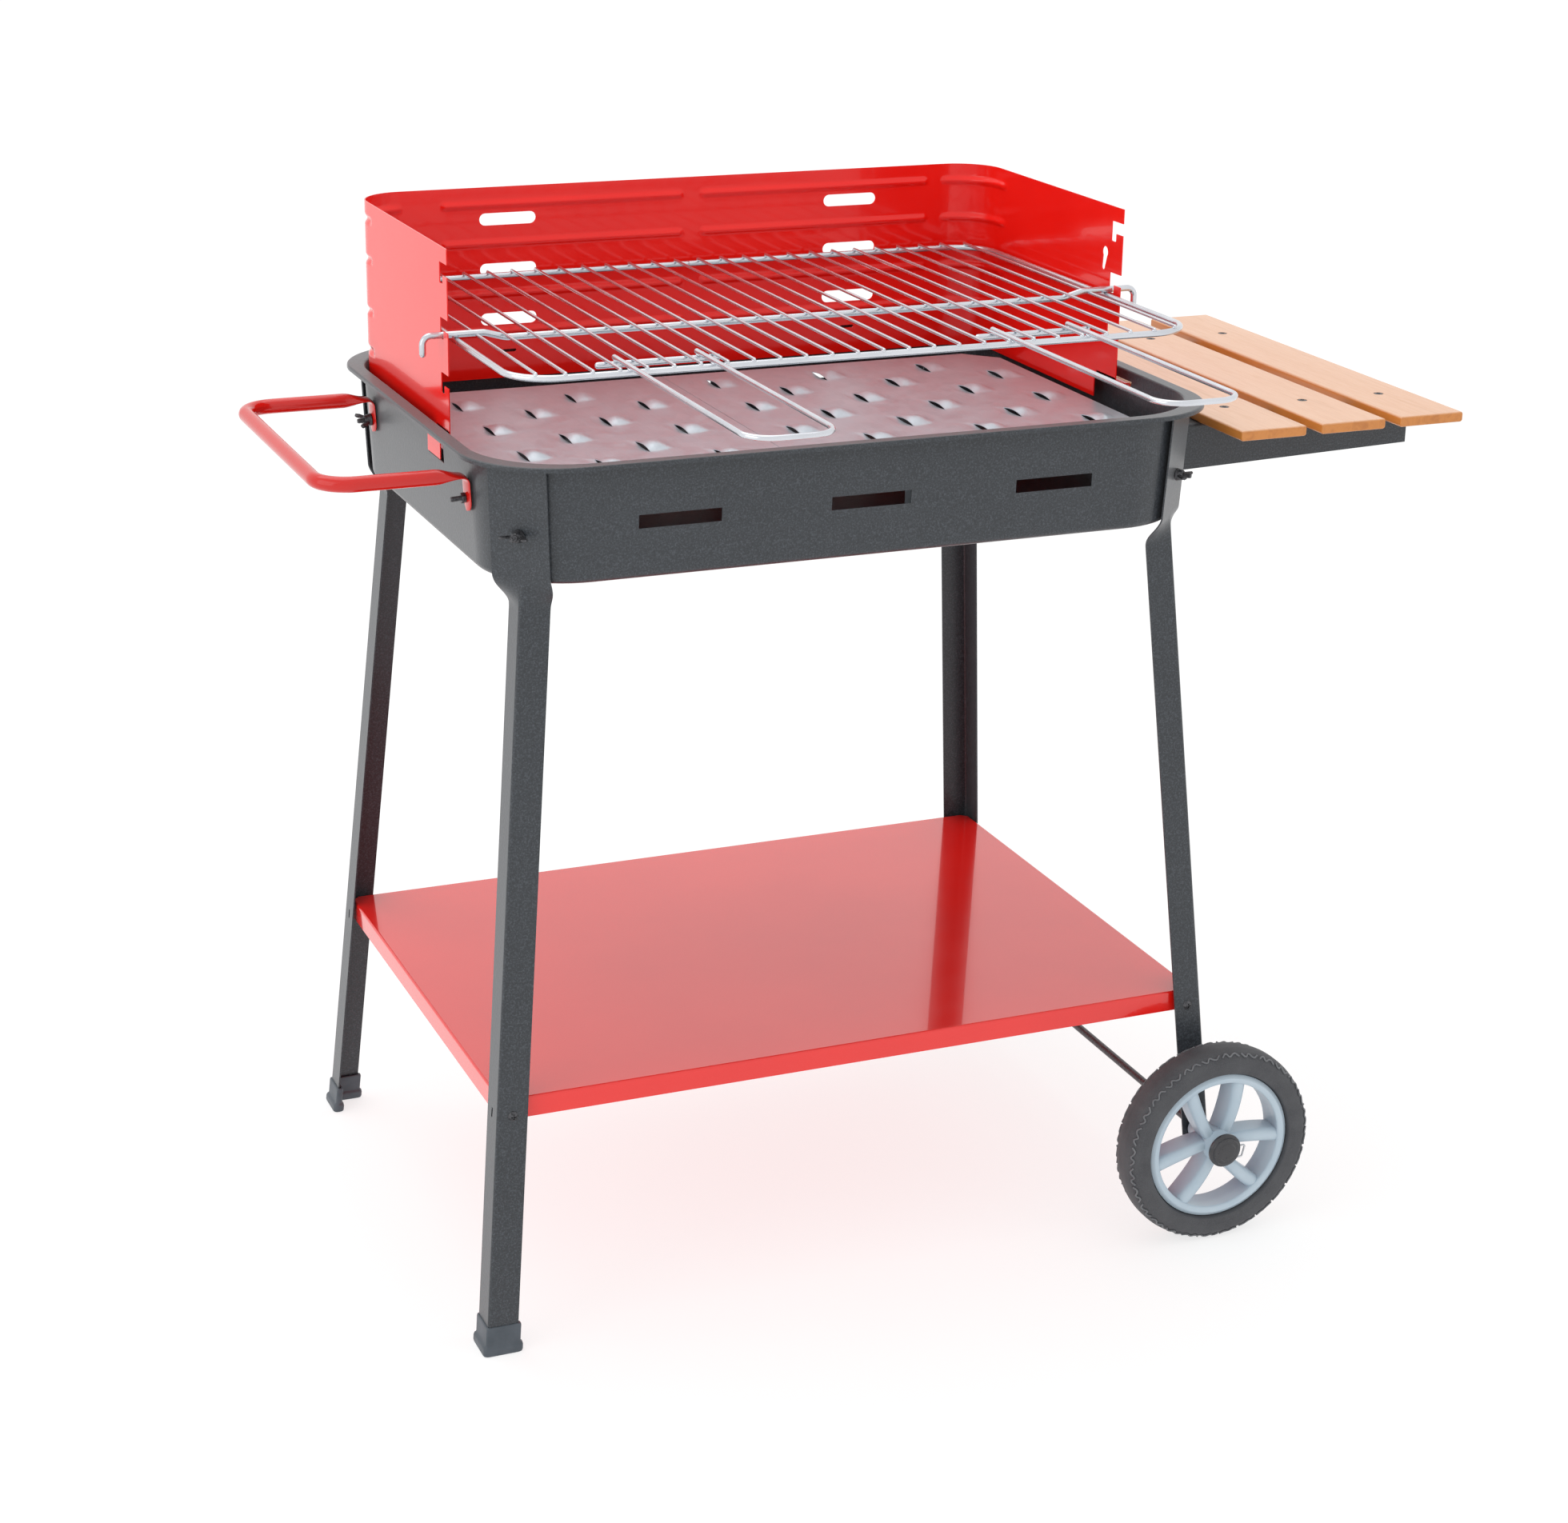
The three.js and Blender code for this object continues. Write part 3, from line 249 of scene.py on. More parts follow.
def axes_at(origin, direction, up=(0, 0, 1)):
    """A matrix whose Z points along direction, with X as level as it can be."""
    z = Vector(direction).normalized()
    x = Vector(up).cross(z)
    if x.length < 1e-4:
        x = Vector((1, 0, 0))
    x.normalize()
    y = z.cross(x)
    matrix = Matrix((x, y, z)).transposed().to_4x4()
    matrix.translation = Vector(origin)
    return matrix


# ---------------------------------------------------------------- mesh making
def to_object(name, shape):
    mesh = bpy.data.meshes.new(name)
    points = [ORIGIN + Vector(v) * MM for v in shape.verts]
    mesh.from_pydata(points, [], shape.faces)
    obj = bpy.data.objects.new(name, mesh)
    bpy.context.scene.collection.objects.link(obj)
    work = bmesh.new()
    work.from_mesh(mesh)
    bmesh.ops.remove_doubles(work, verts=work.verts, dist=1e-6)
    bmesh.ops.dissolve_degenerate(work, edges=work.edges, dist=1e-7)
    bmesh.ops.recalc_face_normals(work, faces=work.faces)
    work.to_mesh(mesh)
    work.free()
    return obj


def apply_modifiers(obj):
    graph = bpy.context.evaluated_depsgraph_get()
    mesh = bpy.data.meshes.new_from_object(obj.evaluated_get(graph), depsgraph=graph)
    old = obj.data
    obj.modifiers.clear()
    obj.data = mesh
    bpy.data.meshes.remove(old)
    mesh.name = obj.name


def cut_away(obj, cutters):
    """Cuts one joined cutter out of the piece."""
    tool = to_object(obj.name + "_cutter", cutters)
    change = obj.modifiers.new("cut", "BOOLEAN")
    change.operation = "DIFFERENCE"
    change.solver = "EXACT"
    change.use_self = True
    change.object = tool
    apply_modifiers(obj)
    mesh = tool.data
    bpy.data.objects.remove(tool)
    bpy.data.meshes.remove(mesh)


def finish_piece(name, shape, material, body, nodes, cutters=None, bevel=0.0, sharp=32):
    """Turns a shape into a shaded piece that stands for CAD nodes."""
    obj = to_object(name, shape)
    if cutters:
        cut_away(obj, cutters)
    if bevel:
        change = obj.modifiers.new("bevel", "BEVEL")
        change.width = bevel * MM
        change.segments = 2
        change.limit_method = "ANGLE"
        change.angle_limit = math.radians(30)
        apply_modifiers(obj)
    obj.data.shade_smooth()
    obj.data.set_sharp_from_angle(angle=math.radians(sharp))
    change = obj.modifiers.new("weighted", "WEIGHTED_NORMAL")
    change.keep_sharp = True
    apply_modifiers(obj)
    obj.data.materials.clear()
    obj.data.materials.append(material)
    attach(obj, body)
    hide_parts(*nodes)
    return obj


# ------------------------------------------------------------------ materials
class Look:
    """A procedural material being wired up, in object coordinates (metres)."""

    def __init__(self, name, roughness, metallic=0.0, coat=0.0, coat_roughness=0.05, specular=0.5):
        self.material = bpy.data.materials.new(name)
        self.material.use_nodes = True
        self.tree = self.material.node_tree
        self.shader = self.tree.nodes["Principled BSDF"]
        self.shader.inputs["Roughness"].default_value = roughness
        self.shader.inputs["Metallic"].default_value = metallic
        self.shader.inputs["Coat Weight"].default_value = coat
        self.shader.inputs["Coat Roughness"].default_value = coat_roughness
        self.shader.inputs["Specular IOR Level"].default_value = specular
        coordinates = self.tree.nodes.new("ShaderNodeTexCoord")
        self.place = coordinates.outputs["Object"]
        self.bumps = None

    def link(self, source, target):
        self.tree.links.new(source, target)

    def mapped(self, scale=(1, 1, 1), turn=(0, 0, 0)):
        node = self.tree.nodes.new("ShaderNodeMapping")
        node.inputs["Scale"].default_value = scale
        node.inputs["Rotation"].default_value = turn
        self.link(self.place, node.inputs["Vector"])
        return node.outputs["Vector"]

    def noise(self, scale, detail=3.0, rough=0.5, vector=None, distortion=0.0):
        node = self.tree.nodes.new("ShaderNodeTexNoise")
        node.inputs["Scale"].default_value = scale
        node.inputs["Detail"].default_value = detail
        node.inputs["Roughness"].default_value = rough
        node.inputs["Distortion"].default_value = distortion
        self.link(vector or self.place, node.inputs["Vector"])
        return node.outputs["Fac"]

    def cells(self, scale, vector=None, feature="F1", output="Distance"):
        node = self.tree.nodes.new("ShaderNodeTexVoronoi")
        node.feature = feature
        node.inputs["Scale"].default_value = scale
        self.link(vector or self.place, node.inputs["Vector"])
        return node.outputs[output]

    def ramp(self, source, stops):
        node = self.tree.nodes.new("ShaderNodeValToRGB")
        elements = node.color_ramp.elements
        while len(elements) < len(stops):
            elements.new(0.5)
        for element, (position, colour) in zip(elements, stops):
            element.position = position
            element.color = (*colour, 1) if len(colour) == 3 else colour
        self.link(source, node.inputs["Fac"])
        return node.outputs["Color"]

    def mix(self, factor, first, second, mode="MIX"):
        node = self.tree.nodes.new("ShaderNodeMix")
        node.data_type = "RGBA"
        node.blend_type = mode
        for socket, kind, value in (("Factor", "VALUE", factor), ("A", "RGBA", first), ("B", "RGBA", second)):
            target = next(s for s in node.inputs if s.name == socket and s.type == kind)
            if isinstance(value, (int, float)):
                target.default_value = value
            elif isinstance(value, tuple):
                target.default_value = (*value, 1)
            else:
                self.link(value, target)
        return next(s for s in node.outputs if s.type == "RGBA")

    def span(self, source, low, high, from_low=0.0, from_high=1.0):
        node = self.tree.nodes.new("ShaderNodeMapRange")
        node.inputs["From Min"].default_value = from_low
        node.inputs["From Max"].default_value = from_high
        node.inputs["To Min"].default_value = low
        node.inputs["To Max"].default_value = high
        self.link(source, node.inputs["Value"])
        return node.outputs["Result"]

    def bump(self, height, distance, strength=1.0):
        node = self.tree.nodes.new("ShaderNodeBump")
        node.inputs["Distance"].default_value = distance
        node.inputs["Strength"].default_value = strength
        self.link(height, node.inputs["Height"])
        if self.bumps:
            self.link(self.bumps, node.inputs["Normal"])
        self.bumps = node.outputs["Normal"]
        self.link(self.bumps, self.shader.inputs["Normal"])

    def colour(self, source):
        self.link(source, self.shader.inputs["Base Color"])

    def roughness(self, source):
        self.link(source, self.shader.inputs["Roughness"])


def red_enamel(name, shade, coat, specular):
    look = Look(name, 0.2, coat=coat, coat_roughness=0.03, specular=specular)
    cloud = look.noise(6, 3)
    speck = look.noise(900, 2, 0.6)
    base = look.ramp(cloud, [(0.3, (shade, 0.007, 0.004)), (0.7, (shade * 1.08, 0.011, 0.006))])
    look.colour(look.mix(look.span(speck, 0, 0.25, 0.55, 0.8), base, (shade * 1.12, 0.03, 0.02)))
    look.roughness(look.span(look.noise(30, 4), 0.12, 0.2))
    look.bump(look.noise(330, 2, 0.5), 0.00015, 0.08)
    look.bump(look.noise(9, 2), 0.001, 0.05)
    return look.material


def hammered_grey():
    look = Look("hammered_grey", 0.42, coat=0.25, coat_roughness=0.22, specular=0.45)
    look.shader.inputs["Sheen Weight"].default_value = 0.3
    look.shader.inputs["Sheen Roughness"].default_value = 0.35
    look.shader.inputs["Sheen Tint"].default_value = (1, 1, 1, 1)
    cells = look.cells(420, feature="SMOOTH_F1")
    flakes = look.noise(620, 3, 0.65)
    base = look.ramp(look.noise(5, 3), [(0.3, (0.016, 0.020, 0.025)), (0.7, (0.022, 0.027, 0.033))])
    light = look.mix(look.span(flakes, 0, 0.8, 0.46, 0.70), base, (0.075, 0.085, 0.10))
    look.colour(look.mix(look.span(cells, 0.4, 0, 0.1, 0.45), light, (0.010, 0.011, 0.013)))
    look.roughness(look.span(flakes, 0.36, 0.55, 0.3, 0.7))
    look.bump(cells, 0.0004, 0.25)
    look.bump(flakes, 0.0002, 0.2)
    return look.material


def galvanised_sheet():
    look = Look("galvanised_sheet", 0.34, metallic=0.5)
    spangle = look.cells(75, output="Color")
    grain = look.noise(1, 3, 0.6, vector=look.mapped((420, 30, 30)))
    grey = look.ramp(spangle, [(0.0, (0.52, 0.57, 0.62)), (1.0, (0.58, 0.63, 0.68))])
    look.colour(look.mix(look.span(grain, 0, 0.3, 0.4, 0.7), grey, (0.64, 0.69, 0.74)))
    look.roughness(look.span(look.noise(60, 4, 0.6), 0.28, 0.38, 0.3, 0.7))
    look.bump(grain, 0.0001, 0.25)
    return look.material


def black_steel():
    look = Look("black_steel", 0.36, metallic=0.6)
    worn = look.noise(500, 4, 0.6)
    look.colour(look.ramp(worn, [(0.35, (0.030, 0.030, 0.033)), (0.72, (0.13, 0.13, 0.14))]))
    look.roughness(look.span(worn, 0.28, 0.48, 0.3, 0.7))
    look.bump(look.noise(900, 3), 0.0002, 0.3)
    return look.material


def tyre_rubber():
    look = Look("tyre_rubber", 0.62, specular=0.36)
    dust = look.noise(38, 4, 0.6)
    fine = look.noise(1100, 3, 0.6)
    base = look.ramp(dust, [(0.3, (0.050, 0.051, 0.057)), (0.7, (0.074, 0.076, 0.082))])
    look.colour(look.mix(look.span(fine, 0, 0.5, 0.45, 0.75), base, (0.12, 0.122, 0.13)))
    look.roughness(look.span(fine, 0.52, 0.72, 0.3, 0.7))
    look.bump(fine, 0.0002, 0.35)
    return look.material


def mottled(name, tone, dark, light, grain, bump, gloss=None, **surface):
    """A plated or moulded surface: slow colour changes, a fine grain and uneven gloss."""
    look = Look(name, **surface)
    look.colour(look.ramp(look.noise(*tone), [(0.3, dark), (0.7, light)]))
    if gloss:
        noise, limits = gloss
        look.roughness(look.span(look.noise(*noise), *limits))
    look.bump(look.noise(*grain), *bump)
    return look.material


def pine_boards():
    """Varnished boards: upward faces painted paler than the long edges as a painted sheen, fine grain along
    their length.
    """
    look = Look("pine_boards", 0.34, coat=0.35, coat_roughness=0.15)
    long_grain = look.mapped((1, 0.055, 1))
    bands = look.noise(95, 5, 0.62, vector=long_grain, distortion=1.1)
    pores = look.noise(1, 3, 0.6, vector=look.mapped((1400, 34, 1400)))
    wide = look.noise(11, 3, 0.5, vector=long_grain)
    # Colour for the side faces: the darker, more orange wood tone of the long edges.
    edge = look.ramp(bands, [
        (0.25, (0.46, 0.15, 0.022)), (0.55, (0.60, 0.22, 0.04)), (0.8, (0.50, 0.17, 0.028)),
    ])
    # Colour for the upward faces: paler, a painted sheen on the tops.
    face = look.ramp(bands, [
        (0.25, (0.66, 0.36, 0.20)), (0.48, (0.76, 0.45, 0.28)),
        (0.62, (0.71, 0.40, 0.235)), (0.8, (0.79, 0.49, 0.32)),
    ])
    tint = look.mix(look.span(wide, 0, 0.4, 0.35, 0.7), face, (0.69, 0.35, 0.17))
    # Faces turned up take the paler colour and side faces the darker one: a painted sheen on the tops.
    normal = look.tree.nodes.new("ShaderNodeNewGeometry")
    split = look.tree.nodes.new("ShaderNodeSeparateXYZ")
    look.link(normal.outputs["True Normal"], split.inputs["Vector"])
    top_sheen_mask = look.span(split.outputs["Z"], 0, 1, 0.25, 0.85)
    both = look.mix(top_sheen_mask, edge, tint)
    look.colour(look.mix(look.span(pores, 0, 0.32, 0.55, 0.8), both, (0.40, 0.15, 0.045)))
    look.roughness(look.span(pores, 0.28, 0.46, 0.3, 0.7))
    look.bump(pores, 0.0002, 0.25)
    look.bump(bands, 0.0004, 0.2)
    return look.material


RED = red_enamel("red_enamel", 0.84, 0.3, 0.3)
SHELF_RED = red_enamel("shelf_enamel", 0.76, 0.75, 0.5)
TUBE_RED = red_enamel("tube_enamel", 0.56, 0.3, 0.4)
GREY = hammered_grey()
WIRE = mottled(
    "bright_wire", (25, 2), (0.60, 0.62, 0.66), (0.70, 0.72, 0.76), (60, 2), (0.0001, 0.03),
    gloss=((40, 2), (0.2, 0.28, 0.3, 0.7)), roughness=0.24, metallic=0.9,
)
SHEET = galvanised_sheet()
BLACK = black_steel()
ZINC = mottled(
    "zinc_wire", (300, 3), (0.42, 0.43, 0.45), (0.62, 0.62, 0.64), (900, 2), (0.0001, 0.2),
    roughness=0.32, metallic=1.0,
)
RUBBER = tyre_rubber()
# The raised zigzags are painted paler than the tyre as a painted highlight, with a smoother finish.
BEAD_HIGHLIGHT = mottled(
    "tyre_marks", (60, 3), (0.10, 0.104, 0.115), (0.15, 0.155, 0.165), (900, 3), (0.0001, 0.2),
    roughness=0.45, specular=0.6,
)
CAP = mottled(
    "cap_black", (90, 3), (0.022, 0.022, 0.025), (0.036, 0.036, 0.040), (700, 3), (0.0001, 0.2),
    gloss=((300, 3), (0.25, 0.4, 0.3, 0.7)), roughness=0.3, coat=0.2, coat_roughness=0.15,
)
HUB = mottled(
    "hub_plastic", (22, 3), (0.40, 0.50, 0.58), (0.47, 0.56, 0.63), (700, 3), (0.0002, 0.12),
    gloss=((240, 3), (0.3, 0.44)), roughness=0.36, coat=0.15, coat_roughness=0.2,
)
BOOT = mottled(
    "boot_plastic", (60, 3), (0.055, 0.068, 0.082), (0.080, 0.094, 0.112), (800, 3), (0.0003, 0.3),
    roughness=0.42, specular=0.4,
)
PINE = pine_boards()

SLOT_LOOKS = {
    "charcoal_paint": GREY, "red_gloss": RED, "bright_wire": WIRE, "zinc_sheet": SHEET, "black_steel": BLACK,
    "zinc_wire": ZINC, "tyre_rubber": RUBBER, "hub_plastic": HUB, "boot_plastic": BOOT, "pine": PINE,
}
for part in frame["record"]["subparts"]:
    mesh = frame["nodes"][part["node"]].data
    mesh.materials.clear()
    mesh.materials.append(SLOT_LOOKS[part["material_slot"]])


# ---------------------------------------------------------------- fire tray
RIM_X, RIM_Y, RIM_TOP, RIM_RADIUS, RIM_WIDTH = 360, 263, 820, 86, 13
TRAY_BOTTOM, TAPER, SHEET_TRAY, TRAY_FILLET, EASE = 711, 6.5, 1.0, 7, 14
CORNER_X, CORNER_Y = RIM_X - RIM_RADIUS, RIM_Y - RIM_RADIUS
VENT_X, VENT_HALF, VENT_LOW, VENT_HIGH = (-181, 0, 181), 38.5, 757, 769.5
# The windshield's hook tabs pass through a tall slot on the left and a narrow one on the right.
HOOK_SLOTS = {-1: (787, 816), 1: (804, 810)}
SLOT_FRONT, SLOT_REAR, TAB_LEVEL = -86, -38, 805
TAB_STANDOFF = {-1: 0.4, 1: 1.0}


def wall_radius(z):
    return RIM_RADIUS - RIM_WIDTH - TAPER * (RIM_TOP - z) / (RIM_TOP - TRAY_BOTTOM)


def wall_x(z):
    return CORNER_X + wall_radius(z)


def wall_y(z):
    return CORNER_Y + wall_radius(z)


def stretched_ring(r, z, steps):
    """The wall's corners are rounder than the rim's, so their arcs are centred further in."""
    ease = EASE * min(1.0, max(0.0, (RIM_RADIUS - r) / RIM_WIDTH))
    cx, cy = CORNER_X - ease, CORNER_Y - ease
    points = []
    for quadrant, (sx, sy) in enumerate([(1, 1), (-1, 1), (-1, -1), (1, -1)]):
        corner = arc(sx * cx, sy * cy, r + ease, 90 * quadrant, 90 * quadrant + 90, steps)
        points += [(x, y, z) for x, y in corner]
    return points


def make_tray():
    half = SHEET_TRAY / 2
    low = TRAY_BOTTOM + half
    corners = [
        (30, low), (wall_radius(low) - half, low), (wall_radius(RIM_TOP) - half, RIM_TOP - half),
        (RIM_RADIUS - half, RIM_TOP - half), (RIM_RADIUS - half, RIM_TOP - 4),
    ]
    line = bent_line(corners, [TRAY_FILLET - half, 1.6, 1.5], 15)
    inner = offset_line(line, -half)
    outer = offset_line(line, half)
    profile = inner + outer[::-1]
    shape = loft([stretched_ring(r, z, 14) for r, z in profile])
    cutters = Shape()
    for side in (-1, 1):
        for x in VENT_X:
            y = side * wall_y(763)
            cutters.join(block(x - VENT_HALF, x + VENT_HALF, y - 12, y + 12, VENT_LOW, VENT_HIGH))
        x = side * wall_x(TAB_LEVEL)
        slot_low, slot_high = HOOK_SLOTS[side]
        cutters.join(block(x - 9, x + 9, SLOT_FRONT, SLOT_REAR, slot_low, slot_high))
    finish_piece("fire_tray", shape, GREY, STAND, ["brazier_tray"], cutters, sharp=28)


make_tray()

# --------------------------------------------------------------- windshield
SCREEN_X, SCREEN_BACK, SCREEN_FRONT, SCREEN_SHIFT = 335, 228, -80, -3
SCREEN_LOW, SCREEN_TOP, SCREEN_RADIUS, SCREEN_SHEET = 787, 977, 45, 1.0
RIB_ROWS = (960, 922, 872, 834)
RIB_HALF, RIB_DEPTH = 5.6, 2.4
TAB_REAR, TAB_TOP, TAB_LOW = -41, 808, 789.5


def screen_plan():
    """Stations round the U: position along it, place in plan and outward direction."""
    middle = SCREEN_SHEET / 2
    x, back, r = SCREEN_X - middle, SCREEN_BACK - middle, SCREEN_RADIUS - middle
    side_length = back - r - SCREEN_FRONT
    turn = r * math.pi / 2
    back_length = 2 * (x - r)
    stations = []
    side_steps = [i * side_length / 24 for i in range(19)]
    side_steps += [side_length * (0.77 + 0.23 * i / 12) for i in range(13)]
    for s in side_steps:
        stations.append((s, (-x, SCREEN_FRONT + s), (-1, 0)))
    for i in range(1, 15):
        angle = math.pi - i * math.pi / 28
        place = (-x + r + r * math.cos(angle), back - r + r * math.sin(angle))
        stations.append((side_length + turn * i / 14, place, (math.cos(angle), math.sin(angle))))
    start = side_length + turn
    marks = {0.0, back_length}
    for edge in (-292, -250, 4, 20, 274, 292):
        marks.update(edge + x - r + k * 1.5 for k in range(-5, 6))
    marks.update(i * 16.0 for i in range(1, int(back_length / 16)))
    along = sorted(m for m in marks if 1 < m < back_length - 1)
    for s in along:
        stations.append((start + s, (-x + r + s, back), (0, 1)))
    total = 2 * (side_length + turn) + back_length
    left_half = stations[:len(side_steps) + 14]
    mirrored = [(total - s, (-px, py), (-nx, ny)) for s, (px, py), (nx, ny) in reversed(left_half)]
    return stations + mirrored, side_length, turn, back_length


def make_windshield():
    stations, side, turn, back_length = screen_plan()
    start = side + turn
    offset = start + back_length / 2
    total = 2 * start + back_length
    runs = [(offset - 250, offset + 4), (offset + 20, offset + 274)]
    runs += [(side - 15, start + 2), (total - start - 2, total - side + 15)]

    def rib(s, z):
        best = 1.0
        for row in RIB_ROWS:
            if abs(z - row) > RIB_HALF:
                continue
            for a, b in runs:
                ds = max(a + RIB_HALF - s, 0, s - b + RIB_HALF)
                best = min(best, math.hypot(ds, z - row) / RIB_HALF)
        return RIB_DEPTH * 0.5 * (1 + math.cos(math.pi * best))

    heights = {float(SCREEN_LOW), float(SCREEN_TOP)}
    heights.update(SCREEN_LOW + 9.5 * i for i in range(1, 20))
    for row in RIB_ROWS:
        heights -= {h for h in heights if abs(h - row) < RIB_HALF + 1}
        heights.update(row + RIB_HALF * k / 6 for k in range(-6, 7))
    heights = sorted(heights)
    sheets = []
    for face in (0.5, -0.5):
        points = []
        for z in heights:
            for s, (px, py), (nx, ny) in stations:
                push = face * SCREEN_SHEET - rib(s, z)
                points.append((px + nx * push + SCREEN_SHIFT, py + ny * push, z))
        sheets.append(points)
    rows, columns = len(heights), len(stations)
    count = rows * columns
    outer = strip_faces(rows, columns)
    inner = [tuple(count + i for i in f[::-1]) for f in outer]
    edge = []
    rim = list(range(columns))
    rim += [i * columns + columns - 1 for i in range(1, rows)]
    rim += [(rows - 1) * columns + j for j in range(columns - 2, -1, -1)]
    rim += [i * columns for i in range(rows - 2, 0, -1)]
    for k, a in enumerate(rim):
        b = rim[(k + 1) % len(rim)]
        edge.append((b, a, count + a, count + b))
    shape = Shape().add(sheets[0] + sheets[1], outer + inner + edge)

    cutters = Shape()

    def stadium(cx, cz, width, height, steps=8):
        r = height / 2
        half = width / 2 - r
        return arc(cx + half, cz, r, -90, 90, steps) + arc(cx - half, cz, r, 90, 270, steps)

    def through_back(outline):
        return loft([[(x, y, z) for x, z in outline] for y in (SCREEN_BACK - 12, SCREEN_BACK + 8)])

    def through_side(outline, side_x):
        return loft([[(x, y, z) for y, z in outline] for x in (side_x - 6, side_x + 6)])

    for x in (-184, 182):
        for z in (945.5, 896, 846.5):
            cutters.join(through_back(stadium(x, z, 58, 12)))
        cutters.join(through_back(stadium(x, 814, 15, 3, 4)))
    for side_x in (-SCREEN_X + SCREEN_SHIFT, SCREEN_X + SCREEN_SHIFT):
        for top in (963, 913.5, 864):
            notch = [
                (-95, top - 11.5), (-67.3, top - 11.5), (-67.3, top - 17.8),
                *arc(-65.8, top - 17.8, 1.5, 180, 270, 3), *arc(-59.5, top - 17.8, 1.5, 270, 360, 3),
                *arc(-59.5, top - 1.5, 1.5, 0, 90, 3), (-95, top),
            ]
            cutters.join(through_side(notch, side_x))
        cutters.join(through_side([
            (-95, 770), (TAB_REAR + 4, 770), (TAB_REAR + 4, TAB_TOP - 2),
            *arc(TAB_REAR + 2, TAB_TOP - 2, 2, 0, 90, 3), (-95, TAB_TOP),
        ], side_x))
    key = arc(-47, 931, 5.6, -40, 220, 16) + arc(-44.5, 916.5, 3, 200, 350, 8)
    cutters.join(through_side(key, SCREEN_X + SCREEN_SHIFT))

    obj = finish_piece("windshield_sheet", shape, RED, STAND, ["windshield"], cutters, sharp=35)

    # The two hook tabs, joggled outwards through the slots of the tray wall.
    for side in (-1, 1):
        panel = side * (SCREEN_X - 0.5) + SCREEN_SHIFT
        drop = wall_x(TAB_LEVEL) + TAB_STANDOFF[side]
        bend = TAB_TOP - 0.5
        line = [(abs(panel), TAB_TOP + 6), (abs(panel), bend), (drop, bend), (drop, TAB_LOW)]
        section = sheet_section(line, [1.2, 1.2], SCREEN_SHEET)
        tab = loft([[(side * x, y, z) for x, z in section] for y in (SCREEN_FRONT - 0.02, TAB_REAR)])
        name = "windshield_tab_left" if side < 0 else "windshield_tab_right"
        finish_piece(name, tab, RED, STAND, [], bevel=0.25)
    return obj


make_windshield()


# -------------------------------------------------------------- cooking grid
GRID_X, GRID_FRONT, GRID_REAR, GRID_Z, GRID_WIRE, ROD = 325, -236, 216, 892, 3, 1.5
GRID_RADIUS, ROD_COUNT, ROD_PITCH, MID_Y = 40, 26, 24.5, -62.5
ROD_Z = GRID_Z + GRID_WIRE + ROD - 0.4
HOOK_X, HOOK_Z, HOOK_DROP = 356, GRID_Z + 2 * GRID_WIRE - 0.4, 19


def blob(centre, size, rows=5, columns=8):
    """A small weld bead."""
    rings = []
    for i in range(1, rows):
        t = math.pi * i / rows
        rings.append([
            (centre[0] + size[0] * math.sin(t) * math.cos(a), centre[1] + size[1] * math.sin(t) * math.sin(a),
             centre[2] + size[2] * math.cos(t)) for a in [math.tau * k / columns for k in range(columns)]
        ])
    return loft(rings)


def make_grid():
    shape = Shape()
    frame_wire = Path([
        (0, GRID_REAR, GRID_Z), (GRID_X, GRID_REAR, GRID_Z), (GRID_X, GRID_FRONT, GRID_Z),
        (-GRID_X, GRID_FRONT, GRID_Z), (-GRID_X, GRID_REAR, GRID_Z), (-0.5, GRID_REAR, GRID_Z),
    ], GRID_RADIUS, 7)
    shape.join(tube(frame_wire, GRID_WIRE, 18, normal=(0, 0, 1)))
    shape.join(blob((-0.3, GRID_REAR, GRID_Z), (4.5, 3.5, 3.5)))
    half = [
        (GRID_X - 46, MID_Y, GRID_Z), (GRID_X - 26, MID_Y, HOOK_Z), (HOOK_X, MID_Y, HOOK_Z),
        (HOOK_X, MID_Y, HOOK_Z - HOOK_DROP),
    ]
    whole = [(-x, y, z) for x, y, z in reversed(half)] + half
    shape.join(tube(Path(whole, [8, 14, 14, 14, 14, 8], 7), GRID_WIRE, 18, normal=(0, 1, 0)))
    for i in range(ROD_COUNT):
        x = (i - (ROD_COUNT - 1) / 2) * ROD_PITCH
        beyond = max(0.0, abs(x) - (GRID_X - GRID_RADIUS))
        inset = GRID_RADIUS - math.sqrt(GRID_RADIUS ** 2 - beyond ** 2)
        front, rear = GRID_FRONT + inset, GRID_REAR - inset
        shape.join(wire([(x, front - 2.5, ROD_Z), (x, rear + 2.5, ROD_Z)], 0, ROD, 12))
        for y in (front, MID_Y, rear):
            if abs(x) < GRID_X - 40 or y != MID_Y:
                shape.join(blob((x, y, ROD_Z - 1.3), (2.3, 2.6, 1.5)))
    for centre in (-185, 177):
        shape.join(wire([(centre - 58, -200, GRID_Z), (centre + 58, -200, GRID_Z)], 0, GRID_WIRE, 16))
        z = GRID_Z + GRID_WIRE + 2.5 - 0.4
        shape.join(tube(Path([
            (centre - 38, -192, z), (centre - 38, -510, z), (centre + 38, -510, z), (centre + 38, -192, z),
        ], 24, 7), 2.5, 16, normal=(0, 0, 1)))
        for side in (-38, 38):
            for y in (-200, GRID_FRONT):
                shape.join(blob((centre + side, y, GRID_Z + 3), (3.4, 3.6, 2.0)))
    finish_piece("cooking_grid_wires", shape, WIRE, GRID, ["cooking_grid"], sharp=60)


make_grid()


# --------------------------------------------------------------- fire grates
GRATE_TOP, GRATE_SHEET, GRATE_FRONT, GRATE_REAR, GRATE_CHAMFER = 787, 0.8, -222, 180, 30
LOUVRE_LENGTH, LOUVRE_REACH, LOUVRE_LIP, LOUVRE_RISE = 42, 27, 2.4, 13
DENT_REACH, DENT_DEPTH, DENT_SHIFT = 12, 1.4, 9
PITCH_X, PITCH_Y, FOOT_HALF = 57, 102, 18


